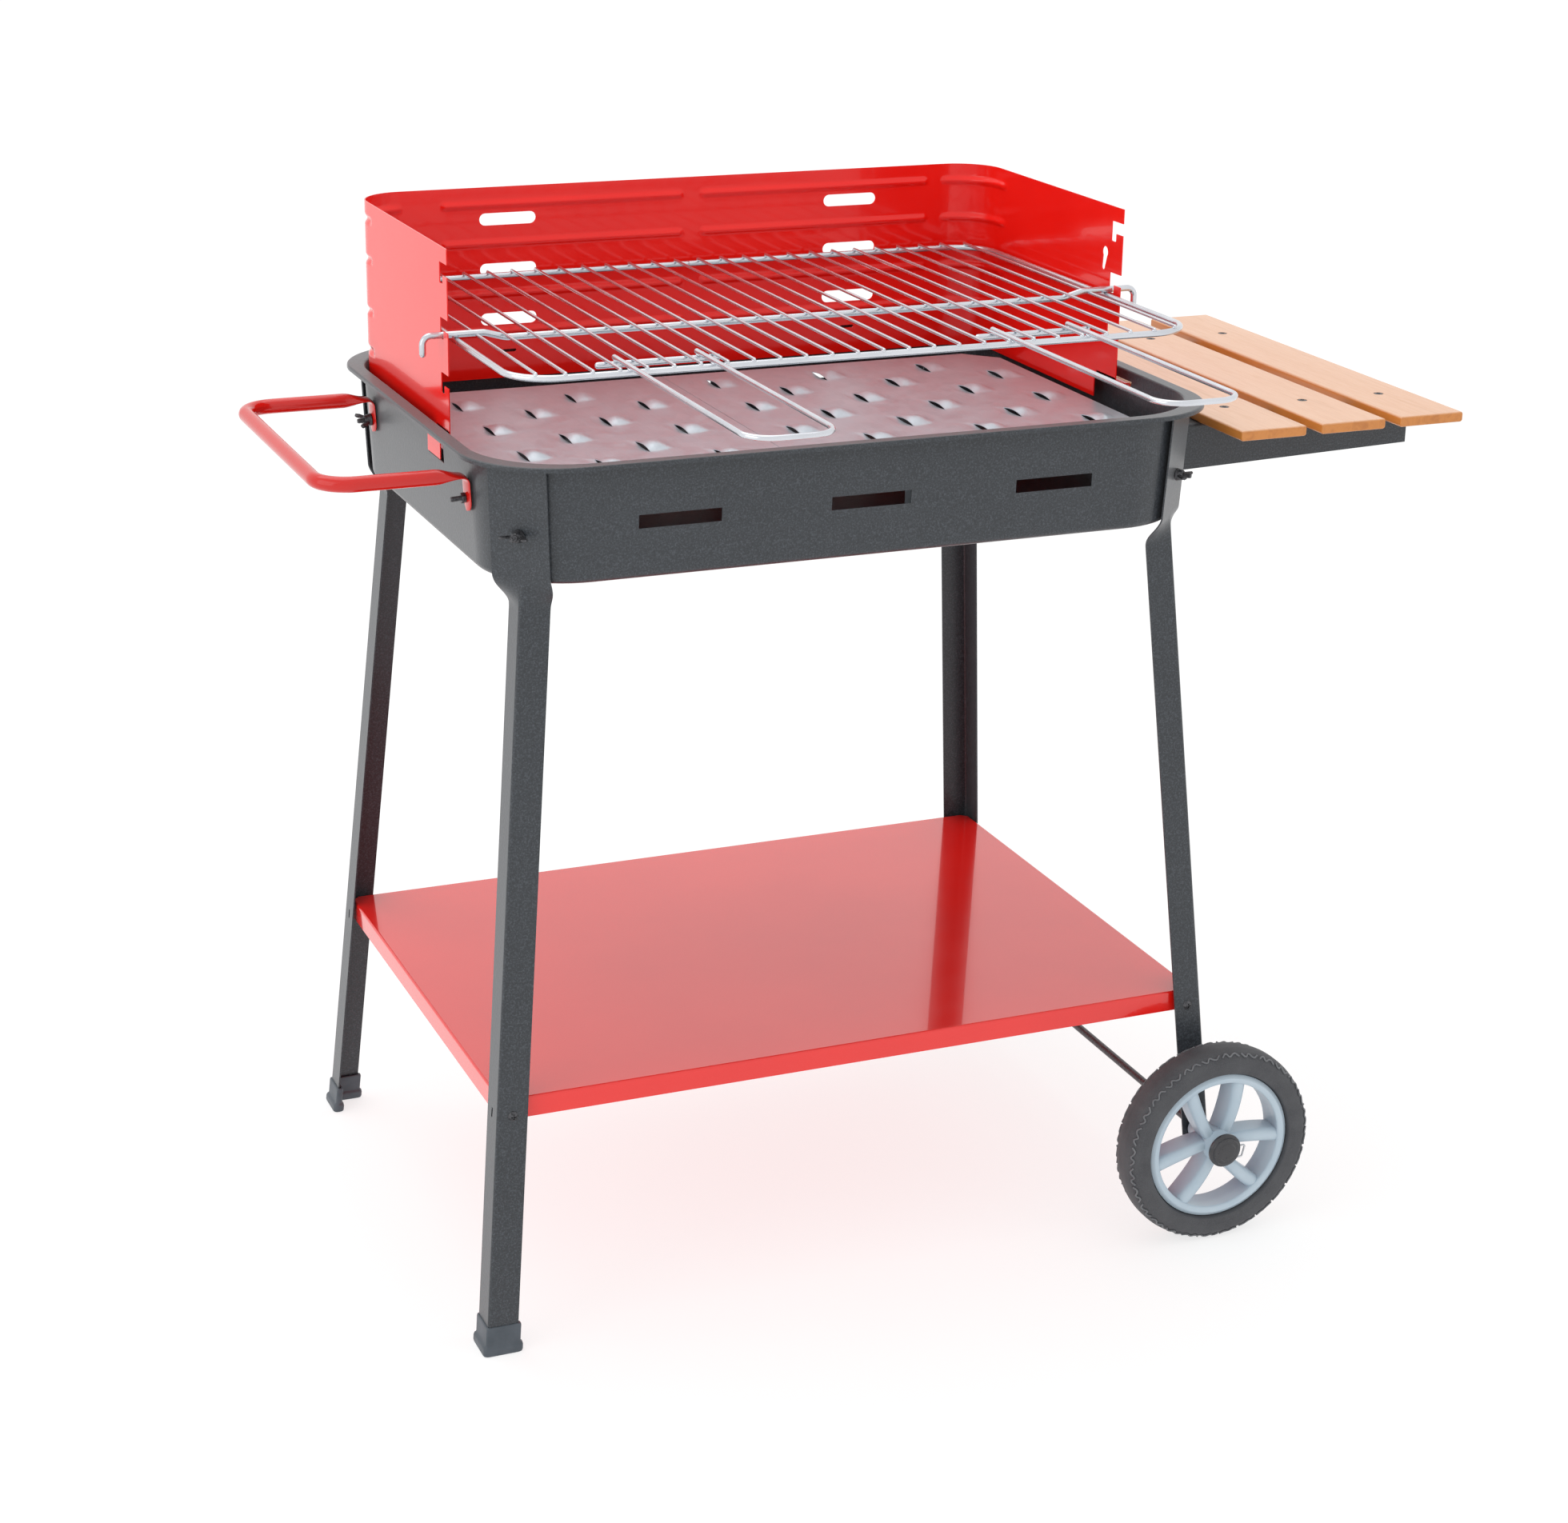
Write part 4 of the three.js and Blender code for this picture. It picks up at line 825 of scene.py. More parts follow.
def make_grate(name, node, body, seam_x, outer_x, feet_x, first_x, first_y, columns):
    eyes = []
    for i in range(columns):
        y = first_y - (i % 2) * PITCH_Y / 2
        while y > GRATE_FRONT + 30:
            eyes.append((first_x + i * PITCH_X - 7, y))
            y -= PITCH_Y
    low_x, high_x = sorted((seam_x, outer_x))

    def axis(low, high, coarse, fine, zones):
        marks = list(np.arange(low, high, coarse)) + [high]
        for a, b in zones:
            marks = [m for m in marks if m < a - 0.4 or m > b + 0.4]
            marks += list(np.arange(a, b + 1e-6, fine))
        return sorted(m for m in set(round(float(m), 3) for m in marks) if low <= m <= high)

    slit_columns = sorted({x for x, _ in eyes})
    xs = axis(low_x, high_x, 14, 2.0, [(x - DENT_REACH, x + LOUVRE_REACH) for x in slit_columns])
    ys = axis(GRATE_FRONT, GRATE_REAR, 2.5, 2.5, [])

    def height(x, y, right_of_slit):
        total = 0.0
        for ex, ey in eyes:
            v = (y - ey) / (LOUVRE_LENGTH / 2)
            if x < ex - DENT_REACH or x > ex + LOUVRE_REACH:
                continue
            if x > ex or (x == ex and right_of_slit):
                u = (x - ex) / LOUVRE_REACH
                narrowing = v / (1 - 0.35 * u)
                if abs(narrowing) < 1:
                    crown = LOUVRE_LIP + LOUVRE_RISE * u * math.sqrt(1 - u)
                    total += crown * (1 - narrowing ** 2) * (1 - u * u) ** 1.3
            else:
                u = (ex - x) / DENT_REACH
                w = (y - ey - DENT_SHIFT * u) / (LOUVRE_LENGTH / 2)
                if abs(w) < 1:
                    total -= DENT_DEPTH * (1 - w * w) * (1 - u * u) ** 1.5
        return total

    columns_xy = []
    for x in xs:
        columns_xy.append((x, False))
        if x in slit_columns:
            columns_xy.append((x, True))
    points = []
    for x, right in columns_xy:
        for y in ys:
            px = x
            overhang = max(0.0, abs(x - seam_x) - (abs(outer_x - seam_x) - GRATE_CHAMFER))
            lo, hi = GRATE_FRONT + overhang, GRATE_REAR - overhang
            py = lo + (y - GRATE_FRONT) * (hi - lo) / (GRATE_REAR - GRATE_FRONT)
            points.append((px, py, GRATE_TOP + height(x, y, right)))
    rows, count = len(columns_xy), len(ys)
    faces = []
    for i in range(rows - 1):
        same = columns_xy[i][0] == columns_xy[i + 1][0]
        for j in range(count - 1):
            a, b, c, d = i * count + j, i * count + j + 1, (i + 1) * count + j + 1, (i + 1) * count + j
            if same and max(points[d][2] - points[a][2], points[c][2] - points[b][2]) > 0.25:
                continue
            faces.append((a, d, c, b))
    shape = Shape().add(points, faces)
    obj = to_object(name, shape)
    thick = obj.modifiers.new("sheet", "SOLIDIFY")
    thick.thickness = GRATE_SHEET * MM
    thick.offset = -1
    apply_modifiers(obj)
    low = TRAY_BOTTOM + SHEET_TRAY + 0.3
    feet = Shape()
    for x in feet_x:
        for y, inward in ((GRATE_FRONT, 1), (GRATE_REAR, -1)):
            front, high = y + inward * GRATE_SHEET / 2, GRATE_TOP - GRATE_SHEET / 2
            line = [(y + inward * 12, high), (front, high), (front, low)]
            section = sheet_section(line, [1.5], GRATE_SHEET - 0.02)
            feet.join(loft([[(px, py, pz) for py, pz in section] for px in (x - FOOT_HALF, x + FOOT_HALF)]))
    feet_obj = to_object(name + "_feet", feet)
    work = bmesh.new()
    work.from_mesh(obj.data)
    work.from_mesh(feet_obj.data)
    work.to_mesh(obj.data)
    work.free()
    bpy.data.objects.remove(feet_obj)
    obj.data.shade_smooth()
    obj.data.set_sharp_from_angle(angle=math.radians(40))
    obj.data.materials.clear()
    obj.data.materials.append(SHEET)
    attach(obj, body)
    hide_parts(node)


make_grate("grate_plate_left", "charcoal_grate_left", "grate_left", -40.3, -331, (-276, -92), -264, 119, 4)
make_grate("grate_plate_right", "charcoal_grate_right", "grate_right", -39.7, 322, (267, 62), 4, 131, 6)


# ---------------------------------------------------------------------- legs
CORNERS = {"front_left": (-1, -1), "rear_left": (-1, 1), "front_right": (1, -1), "rear_right": (1, 1)}
LEG_LOW = {-1: 4.5, 1: 86}
LEG_WIDTH, LEG_SHEET, LEG_FOOT, LEG_TOP, LEG_BEND = 28, 1.5, 466, 815, 2.6
SCREW_X, SCREW_Z = 345, 227
BOLT_Z = 754
DIAGONAL = (CORNER_X + CORNER_Y - 2 * EASE) * math.sqrt(0.5) + EASE
CREASE_LOW = DIAGONAL + wall_radius(TRAY_BOTTOM) + LEG_SHEET + 0.4


def crease_at(z):
    if z < TRAY_BOTTOM:
        return LEG_FOOT + (CREASE_LOW - LEG_FOOT) * z / TRAY_BOTTOM
    return DIAGONAL + wall_radius(z) + LEG_SHEET + 0.4


def crease_point(sx, sy, z):
    total = crease_at(z) * math.sqrt(2)
    difference = CORNER_X - CORNER_Y
    return Vector((sx * (total + difference) / 2, sy * (total - difference) / 2, z))


def smooth(t):
    t = min(1.0, max(0.0, t))
    return t * t * (3 - 2 * t)


def leg_section(fold):
    """The strip's section as (across, outwards) pairs, folded by that angle each side."""
    stations = [0.0, 0.6, 1.2, 1.8, 2.4, 3.2, 10.0, 19.0, LEG_WIDTH - 0.6, LEG_WIDTH]
    half = [(0.0, 0.0)]
    directions = [0.0]
    for a, b in zip(stations, stations[1:]):
        middle = fold * smooth(((a + b) / 2) / LEG_BEND)
        x, y = half[-1]
        half.append((x + (b - a) * math.cos(middle), y - (b - a) * math.sin(middle)))
        directions.append(fold * smooth(b / LEG_BEND))
    half = list(zip(half, directions))
    line = [((-x, y), -d) for (x, y), d in reversed(half[1:])] + half
    outer = [p for p, _ in line]
    inner = [(x - LEG_SHEET * math.sin(d), y - LEG_SHEET * math.cos(d)) for (x, y), d in line]
    return outer + inner[::-1]


def make_leg(name, sx, sy, low):
    out = Vector((sx, sy, 0)).normalized()
    along = Vector((sy, -sx, 0)).normalized()
    heights = [low, 300, 500, 650, 684] + [688 + 2.2 * i for i in range(15)] + [735, 770, LEG_TOP]
    rings = []
    for z in heights:
        fold = math.radians(45) * (1 - smooth((z - 686) / 31))
        base = crease_point(sx, sy, z)
        rings.append([base + along * a + out * b for a, b in leg_section(fold)])
    shape = loft(rings)
    cutters = Shape()
    screw_y = crease_point(sx, sy, SCREW_Z).y
    slot_x = crease_point(sx, sy, SCREW_Z).x
    slot_y = screw_y - sy * 15
    cutters.join(block(slot_x - 6, slot_x + 6, slot_y - 1.5, slot_y + 1.5, SCREW_Z - 5, SCREW_Z + 4))
    finish_piece(
        f"leg_strip_{name}", shape, GREY, STAND, [f"leg_{name}"], cutters, sharp=40,
    )


for corner, (sx, sy) in CORNERS.items():
    make_leg(corner, sx, sy, LEG_LOW[sx])


def rounded_outline(points, radius, steps=4):
    """A closed outline with its corners eased off."""
    result = []
    for i, point in enumerate(points):
        here, before = Vector(point), Vector(points[i - 1])
        after = Vector(points[(i + 1) % len(points)])
        reach = min(radius, (before - here).length * 0.45, (after - here).length * 0.45)
        start = here + (before - here).normalized() * reach
        end = here + (after - here).normalized() * reach
        for k in range(steps + 1):
            t = k / steps
            result.append(start * (1 - t) ** 2 + here * 2 * t * (1 - t) + end * t * t)
    return [(p.x, p.y) for p in result]


def boot_outline(sx, sy, grow, thickness, z, radius):
    reach = LEG_WIDTH + grow
    inner = grow - thickness
    base = crease_point(sx, sy, z)
    pairs = [(grow, grow), (-reach, grow), (-reach, inner), (inner, inner), (inner, -reach), (grow, -reach)]
    pairs = rounded_outline(pairs, radius)
    return [(base.x + sx * a, base.y + sy * b, z) for a, b in pairs]


def make_boot(name, sx, sy):
    levels = [
        (0, 3.6, 9.0, 5), (0.7, 4.6, 11.0, 5), (2, 5.0, 11.5, 5), (6.5, 5.0, 11.5, 5),
        (8.2, 4.5, 10.6, 5), (9.2, 3.3, 8.2, 4), (10.5, 2.7, 6.8, 3.2), (25, 2.6, 6.6, 2.4),
        (26.5, 2.3, 6.0, 2), (27, 1.7, 4.9, 1.6), (27, 0.35, 2.2, 0.4), (20, 0.35, 2.2, 0.4),
    ]
    shape = loft([boot_outline(sx, sy, grow, thickness, z, r) for z, grow, thickness, r in levels])
    finish_piece(f"boot_{name}", shape, BOOT, STAND, [f"foot_boot_{name}"], sharp=50)


for corner, (sx, sy) in CORNERS.items():
    if sx < 0:
        make_boot(corner, sx, sy)


# ------------------------------------------------------------- lower shelf
def make_shelf():
    half_x, half_y, top, lip, sheet = 355, 256, 241, 20, 0.8

    def plan(inset, z):
        c = 7 - inset * 0.586
        x, y = half_x - inset, half_y - inset
        points = []
        for sx, sy, first in ((1, -1, "x"), (1, 1, "y"), (-1, 1, "x"), (-1, -1, "y")):
            a = (sx * (x - c), sy * y, z)
            b = (sx * x, sy * (y - c), z)
            points += [a, b] if first == "x" else [b, a]
        return points

    bend = 2.2
    angles = [math.pi / 2 * k / 4 for k in range(5)]
    edge = [(bend - bend * math.cos(t), top - bend + bend * math.sin(t)) for t in angles]
    rings = [plan(sheet, top - sheet - 0.2), plan(sheet, top - lip), plan(0, top - lip)]
    rings += [plan(inset, z) for inset, z in edge]
    shape = loft(rings)
    finish_piece("shelf_pan", shape, SHELF_RED, STAND, ["lower_shelf"], sharp=30)


make_shelf()


# ------------------------------------------------------------ bolts and nuts
SHANK = 2.5


def thread(start, end, radius, pitch=0.8):
    """A profile of ridges from one height to the next."""
    points = []
    z = start
    while z + pitch <= end:
        points += [(radius - 0.35, z), (radius, z + pitch * 0.45), (radius - 0.35, z + pitch * 0.9)]
        z += pitch
    return points


def pan_head(length, head=5.0, height=3.0):
    angles = [math.pi / 2 * k / 7 for k in range(6)]
    dome = [(head * math.cos(t), -height * math.sin(t) ** 1.3) for t in angles]
    profile = [(0.4, -height)] + dome[::-1] + [(SHANK, 0)]
    profile += thread(0.5, length - 0.6, SHANK) + [(1.9, length), (0.3, length)]
    return lathe(profile, 24)


def cross_recess(depth_top):
    shape = Shape()
    shape.join(block(-0.65, 0.65, -2.5, 2.5, -depth_top - 1, -depth_top + 1.5))
    shape.join(block(-2.5, 2.5, -0.65, 0.65, -depth_top - 1, -depth_top + 1.5))
    return shape


def moved_shape(shape, matrix):
    return Shape().join(shape, matrix)


def wing_nut():
    shape = lathe([(2.7, 0), (5.6, 0), (6, 0.5), (4.7, 6.4), (4.3, 7), (2.7, 7)], 32, closed=True)
    wide = [1.6, 2.0, 2.3, 2.7, 3.1, 3.2, 2.7, 1.6, 0.5]

    def blade(i):
        return 1.35, wide[i]

    for side in (-1, 1):
        corners = [(side * x, 0, z) for x, z in (
            (3.2, 3.0), (4.8, 4.2), (6.4, 5.6), (7.8, 7.2), (9.2, 8.8), (10.5, 10), (11.6, 10.8),
            (12.5, 11.3), (13, 11.5),
        )]
        shape.join(tube(Path(corners, 0), 1.0, 14, normal=(0, 1, 0), scale=blade, round_ends=False))
    return shape


def hex_nut():
    outer = [[(x, y, z) for x, y in circle(r, 6)] for r, z in ((4.5, 0), (4.8, 0.4), (4.8, 3.6), (4.5, 4))]
    inner = [[(x, y, z) for x, y in circle(2.7, 6)] for z in (4, 0)]
    return loft(outer + inner, close_rows=True)


def hardware(name, node, shape, matrix, recess=None, bevel=0.0):
    cutters = moved_shape(recess, matrix) if recess else None
    finish_piece(
        name, moved_shape(shape, matrix), BLACK, STAND, [node], cutters, bevel=bevel, sharp=38,
    )


for corner, (sx, sy) in CORNERS.items():
    r = wall_radius(BOLT_Z)

    def corner_axes(distance):
        reach = (distance + EASE) * math.sqrt(0.5) - EASE
        return axes_at((sx * (CORNER_X + reach), sy * (CORNER_Y + reach), BOLT_Z), (sx, sy, 0))

    seat = corner_axes(r - SHEET_TRAY - 0.9)
    hardware(f"bolt_{corner}", f"leg_bolt_{corner}", pan_head(19), seat, cross_recess(3))
    seat = corner_axes(r + 0.3 + LEG_SHEET + 1)
    hardware(f"wing_{corner}", f"wing_nut_{corner}", wing_nut(), seat)
    y = crease_point(sx, sy, SCREW_Z).y
    seat = axes_at((sx * SCREW_X, y + sy * 0.6, SCREW_Z), (0, -sy, 0))
    hardware(f"screw_{corner}", f"shelf_screw_{corner}", pan_head(16), seat, cross_recess(3))


# ---------------------------------------------------------- axle and wheels
AXLE_X, AXLE_Z, AXLE_R, AXLE_END, WHEEL_Y, COTTER_Y = 356, 100, 4, 333, 306, 326.9
TYRE_R, RIM_OUTER, RIM_INNER = 100, 75, 65


def about_y(profile, segments=72, closed=True):
    """A ring or disc turned about the Y axis; profile points are (radius, y)."""
    shape = lathe(profile, segments, closed)
    return moved_shape(shape, Matrix.Rotation(-math.pi / 2, 4, "X"))


def wheel_matrix(side):
    turn = 0.0 if side < 0 else math.pi
    return Matrix.Translation((AXLE_X, side * WHEEL_Y, AXLE_Z)) @ Matrix.Rotation(turn, 4, "Z")


def make_tyre(end, side):
    profile = bent_line([
        (RIM_OUTER + 0.4, -12), (77, -17.5), (84, -19), (92, -18), (98, -13), (TYRE_R, -5),
        (TYRE_R, 5), (98, 13), (92, 18), (84, 19), (77, 17.5), (RIM_OUTER + 0.4, 12),
    ], [2, 4, 8, 8, 14, 14, 8, 8, 4, 2], 12)
    shape = about_y(profile, 120)

    # Moulded zigzags round both shoulders.
    def shoulder(w):
        """Radius and depth of the tyre's surface, w millimetres from the shoulder's middle."""
        t = (w + 9) / 18
        angle = math.radians(18 + 62 * t)
        return 88.2 + 11.0 * math.sin(angle), -8.5 - 10.2 * math.cos(angle)

    marks = Shape()
    motifs = 28
    zigzag = [(-9.8, -2.5), (-6.0, 3.0), (-2.8, 1.8), (1.4, -3.6), (4.3, 3.4), (6.7, 2.2), (9.8, -2.4)]
    for face in (-1, 1):
        for k in range(motifs):
            start = math.tau * (k + 0.25 * face) / motifs
            flip = 1 if k % 2 else -1
            corners = []
            for along, w in zigzag:
                r, y = shoulder(w * flip)
                a = start + along / TYRE_R
                corners.append((r * math.cos(a), y * -face, r * math.sin(a)))
            marks.join(tube(Path(corners, 1.6, 30), 0.95, 6, round_ends=False))
    body = f"wheel_{end}"
    finish_piece(f"tyre_{end}", moved_shape(shape, wheel_matrix(side)), RUBBER, body,
                 [f"wheel_tyre_{end}"], sharp=50)
    # The zigzag beads carry the paler material: a painted highlight on the raised lines.
    finish_piece(
        f"tyre_marks_{end}", moved_shape(marks, wheel_matrix(side)), BEAD_HIGHLIGHT, body, [], sharp=70,
    )


def spoke(root_angle, tip_angle):
    """One curved spoke with a rounded crest, running out from the boss to the rim band."""
    a0, a1 = math.radians(root_angle), math.radians(tip_angle)
    middle = a0 + (a1 - a0) * 0.42
    controls = ((9, a0), (34, middle), (69, a1))
    ends = [Vector((reach * math.cos(a), reach * math.sin(a))) for reach, a in controls]
    rings = []
    steps = 16
    for i in range(steps + 1):
        t = i / steps
        p = ends[0] * (1 - t) ** 2 + ends[1] * 2 * t * (1 - t) + ends[2] * t * t
        d = ((ends[1] - ends[0]) * (1 - t) + (ends[2] - ends[1]) * t).normalized()
        n = Vector((-d.y, d.x))
        half = 5.4 + 1.9 * t
        crest = -13.0 - 2.0 * math.sin(math.pi * t)
        section = [(half * 0.92, 11), (half, 9), (half, crest + half)]
        angles = [math.pi * k / 10 for k in range(1, 10)]
        section += [(half * math.cos(b), crest + half - half * math.sin(b)) for b in angles]
        section += [(-half, crest + half), (-half, 9), (-half * 0.92, 11)]
        rings.append([(p.x + n.x * u, y, p.y + n.y * u) for u, y in section])
    return loft(rings)


def make_hub(end, side):
    band = bent_line([
        (RIM_OUTER, 13.2), (71, 16), (RIM_INNER + 0.5, 14), (RIM_INNER + 2.5, 0),
        (RIM_INNER + 0.5, -14), (71, -16), (RIM_OUTER, -13.2),
    ], [2, 2.5, 20, 2.5, 2], 15)
    shape = about_y(band, 96)
    boss = bent_line([(4.3, -19), (13, -19), (16, -12), (13, 12), (10, 30), (4.3, 30)], [2, 3, 3, 1.5], 15)
    shape.join(about_y(boss, 48))
    for middle in (95, 215, 335):
        shape.join(spoke(middle - 42, middle - 23))
        shape.join(spoke(middle + 42, middle + 23))
    finish_piece(f"hub_{end}", moved_shape(shape, wheel_matrix(side)), HUB, f"wheel_{end}",
                 [f"wheel_hub_{end}"], sharp=45)


def make_hub_cap(end, side):
    profile = [
        (4.3, 329), (16.2, 329), (17, 329.7), (17, 332.0), (16.4, 332.8), (14.8, 333.3), (14.3, 333.9),
        (14.0, 335.0), (13.0, 335.8), (9.8, 336.0), (9.2, 336.4), (8.6, 337.1), (6.0, 337.5), (0.4, 337.6),
    ]
    shape = about_y([(r, -y) for r, y in profile], 48, closed=False)
    turn = 0.0 if side < 0 else math.pi
    place = Matrix.Translation((AXLE_X, 0, AXLE_Z)) @ Matrix.Rotation(turn, 4, "Z")
    finish_piece(
        f"cap_{end}", moved_shape(shape, place), CAP, STAND, [f"hub_cap_{end}"], sharp=30,
    )


def make_cotter(end, side):
    place = Matrix.Translation((AXLE_X, side * COTTER_Y, AXLE_Z))
    shape = wire([(-9, 0, 0), (25, 0, 0), (22, 0, -12), (10, 0, -12)], 1.6, 0.9, 10, 18)
    shape = moved_shape(shape, place)
    finish_piece(f"cotter_{end}", shape, ZINC, STAND, [f"cotter_clip_{end}"], sharp=60)


for end, side in (("front", -1), ("rear", 1)):
    make_tyre(end, side)
    make_hub(end, side)
    make_hub_cap(end, side)
    make_cotter(end, side)

axle_half = [(0.3, AXLE_END), (AXLE_R - 0.6, AXLE_END), (AXLE_R, AXLE_END - 0.7)]
axle_profile = [(r, -y) for r, y in axle_half] + axle_half[::-1]
axle = moved_shape(about_y(axle_profile, 32, closed=False), Matrix.Translation((AXLE_X, 0, AXLE_Z)))
finish_piece("axle_rod", axle, BLACK, STAND, ["axle"], sharp=40)


# ----------------------------------------------------------- carrying handle
HANDLE_R, HANDLE_FLAT, HANDLE_WIDE = 7, 3.4, 22
PRESS_LENGTH, PRESS_START, END_ROUND = 26, 5, 11
PRESS_STATIONS = (2, 4, 6, 8, 10, 12, 14, 16, 19, 22, 26, 30)
HANDLE_Y, HANDLE_OUT, HANDLE_Z, TAB_END = (-160, 147), 475, 795, 763
HANDLE_BOLT_Z, HANDLE_GAP = 775, 0.5


def left_wall_axes(y, z, distance):
    """On the sloping left wall: Z points out of it and X runs up it."""
    tilt = math.atan2(TAPER, RIM_TOP - TRAY_BOTTOM)
    out = Vector((-math.cos(tilt), 0, -math.sin(tilt)))
    up = Vector((-math.sin(tilt), 0, math.cos(tilt)))
    matrix = Matrix((up, out.cross(up), out)).transposed().to_4x4()
    matrix.translation = Vector((-wall_x(z), y, z)) + out * distance
    return matrix


def make_handle():
    out = HANDLE_GAP + HANDLE_FLAT / 2
    sides = []
    for y in HANDLE_Y:
        low = left_wall_axes(y, TAB_END, out).translation
        high = left_wall_axes(y, HANDLE_Z, out).translation
        sides.append([low, high, Vector((-HANDLE_OUT, y, HANDLE_Z))])
    corners = sides[0] + sides[1][::-1]
    path = Path(corners, [6, 30, 30, 6], 7)
    tab_stations = [0.15, 0.8, 2.0, 3.8, 6.2, 9.0]

    # Extra stations near both ends, where the tube is pressed flat and rounded.
    first, last = path.points[0], path.points[-1]
    start_dir, end_dir = path.tangents[0], path.tangents[-1]
    path.points[0:1] = [first + start_dir * t for t in tab_stations]
    path.tangents[0:1] = [start_dir.copy() for _ in tab_stations]
    path.points[-1:] = [last - end_dir * t for t in reversed(tab_stations)]
    path.tangents[-1:] = [end_dir.copy() for _ in tab_stations]
    for flip in (False, True):
        straight = max(
            (i for i in range(len(path.points) - 1) if (path.points[i].y < 0) != flip),
            key=lambda i: (path.points[i + 1] - path.points[i]).length * (abs(path.tangents[i].x) > 0.9),
        )
        length = (path.points[straight + 1] - path.points[straight]).length
        for d in PRESS_STATIONS:
            place = length - d if flip else d
            path.insert(straight, 0)
            path.points[straight + 1] = path.points[straight] + path.tangents[straight] * place
        start = path.points[straight]
        added = slice(straight + 1, straight + 1 + len(PRESS_STATIONS))
        path.points[added] = sorted(path.points[added], key=lambda point: (point - start).length)

    def pressed(i):
        p = path.points[i]
        from_wall = -p.x - wall_x(p.z)
        flat = 1 - smooth((from_wall - PRESS_START) / PRESS_LENGTH)
        thin = 1 + flat * (HANDLE_FLAT / (2 * HANDLE_R) - 1)
        wide = 1 + flat * (HANDLE_WIDE / (2 * HANDLE_R) - 1)
        end = min((p - first).length, (p - last).length)
        if end < END_ROUND:
            wide *= math.sqrt(1 - ((END_ROUND - end) / END_ROUND) ** 2)
        return wide, thin

    shape = tube(path, HANDLE_R, 28, normal=(0, 1, 0), scale=pressed, round_ends=False)
    finish_piece("handle_tube", shape, TUBE_RED, STAND, ["carry_handle"], sharp=40)


make_handle()
for end, y in (("front", HANDLE_Y[0]), ("rear", HANDLE_Y[1])):
    hardware(f"handle_screw_{end}", f"handle_bolt_{end}", pan_head(19),
             left_wall_axes(y, HANDLE_BOLT_Z, -SHEET_TRAY - 0.4), cross_recess(3))
    seat = left_wall_axes(y, HANDLE_BOLT_Z, HANDLE_GAP + HANDLE_FLAT + 0.3)
    if end == "front":
        hardware("handle_hex_front", "handle_nut_front", hex_nut(), seat)
    else:
        turned = seat @ Matrix.Rotation(math.radians(75), 4, "Z")
        hardware("handle_wing_rear", "handle_nut_rear", wing_nut(), turned)


# ---------------------------------------------------------- wooden side shelf
BOARD_X = (412, 498.5, 585)
BOARD_W, BOARD_HALF, BOARD_LOW, BOARD_T = 70, 243, 785, 10
SCREW_Y, BRACKET_Y = 150, 165


def make_board(number, x):
    outline = rounded_rectangle(BOARD_W / 2, BOARD_T / 2, 2.4, 4)
    middle = BOARD_LOW + BOARD_T / 2
    ends = [(BOARD_HALF, 1.2), (BOARD_HALF - 0.5, 0.4), (BOARD_HALF - 1.4, 0)]
    rings = []
    for y, inset in [(-y, inset) for y, inset in ends] + [(y, inset) for y, inset in reversed(ends)]:
        rings.append([
            (x + u * (1 - 2 * inset / BOARD_W), y, middle + v * (1 - 2 * inset / BOARD_T)) for u, v in outline
        ])
    cutters = Shape()
    for side in (-1, 1):
        seat = Matrix.Translation((x, side * SCREW_Y, BOARD_LOW + BOARD_T))
        cutters.join(lathe([(0.3, -14), (2.3, -14), (2.3, -3.2), (4.9, -0.4), (4.9, 3), (0.3, 3)], 28), seat)
    finish_piece(
        f"board_{number}", loft(rings), PINE, STAND, [f"side_board_{number}"], cutters, sharp=45,
    )
    for end, side in (("front", -1), ("rear", 1)):
        seat = Matrix.Translation((x, side * SCREW_Y, BOARD_LOW + BOARD_T))
        screw = lathe([
            (0.3, -11.5), (1.2, -10.5), *[(r - 0.2, z) for r, z in thread(-10.2, -3.6, 2.1)], (2.0, -3.2),
            (4.45, -0.6), (4.5, -0.1), (3.6, 0.15), (0.3, 0.2),
        ], 28)
        cross = Shape().join(block(-0.65, 0.65, -2.4, 2.4, -1.2, 1))
        cross.join(block(-2.4, 2.4, -0.65, 0.65, -1.2, 1))
        hardware(f"wood_screw_{number}_{end}", f"board_screw_{number}_{end}", screw, seat, cross)


def make_bracket(end, side):
    root, tip = 345.2, 610
    top = BOARD_LOW - 0.3
    inward = -side
    rings = []
    for x in (root, root + 1.5, tip - 3, tip):
        low = 740 + 8 * (x - root) / (tip - root)
        y = side * (BRACKET_Y - 0.75)
        line = [(y, low), (y, top - 0.75), (side * (BRACKET_Y - 25), top - 0.75)]
        section = sheet_section(line, [2.2], 1.5)
        rings.append([(x, py, pz) for py, pz in section])
    shape = loft(rings)
    y0, y1 = sorted((side * BRACKET_Y, side * (BRACKET_Y - 25)))
    shape.join(block(root, root + 1.5, y0, y1, 740, top - 0.1))
    finish_piece(
        f"bracket_{end}", shape, GREY, STAND, [f"side_bracket_{end}"], bevel=0.3, sharp=40,
    )
    for label, z in (("lower", 752), ("upper", 772)):
        seat = axes_at((wall_x(z) - SHEET_TRAY - 0.8, side * SCREW_Y, z), (1, 0, 0))
        node = f"bracket_bolt_{label}_{end}"
        hardware(f"bracket_screw_{label}_{end}", node, pan_head(17), seat, cross_recess(3))


for number, x in enumerate(BOARD_X, 1):
    make_board(number, x)
for end, side in (("front", -1), ("rear", 1)):
    make_bracket(end, side)


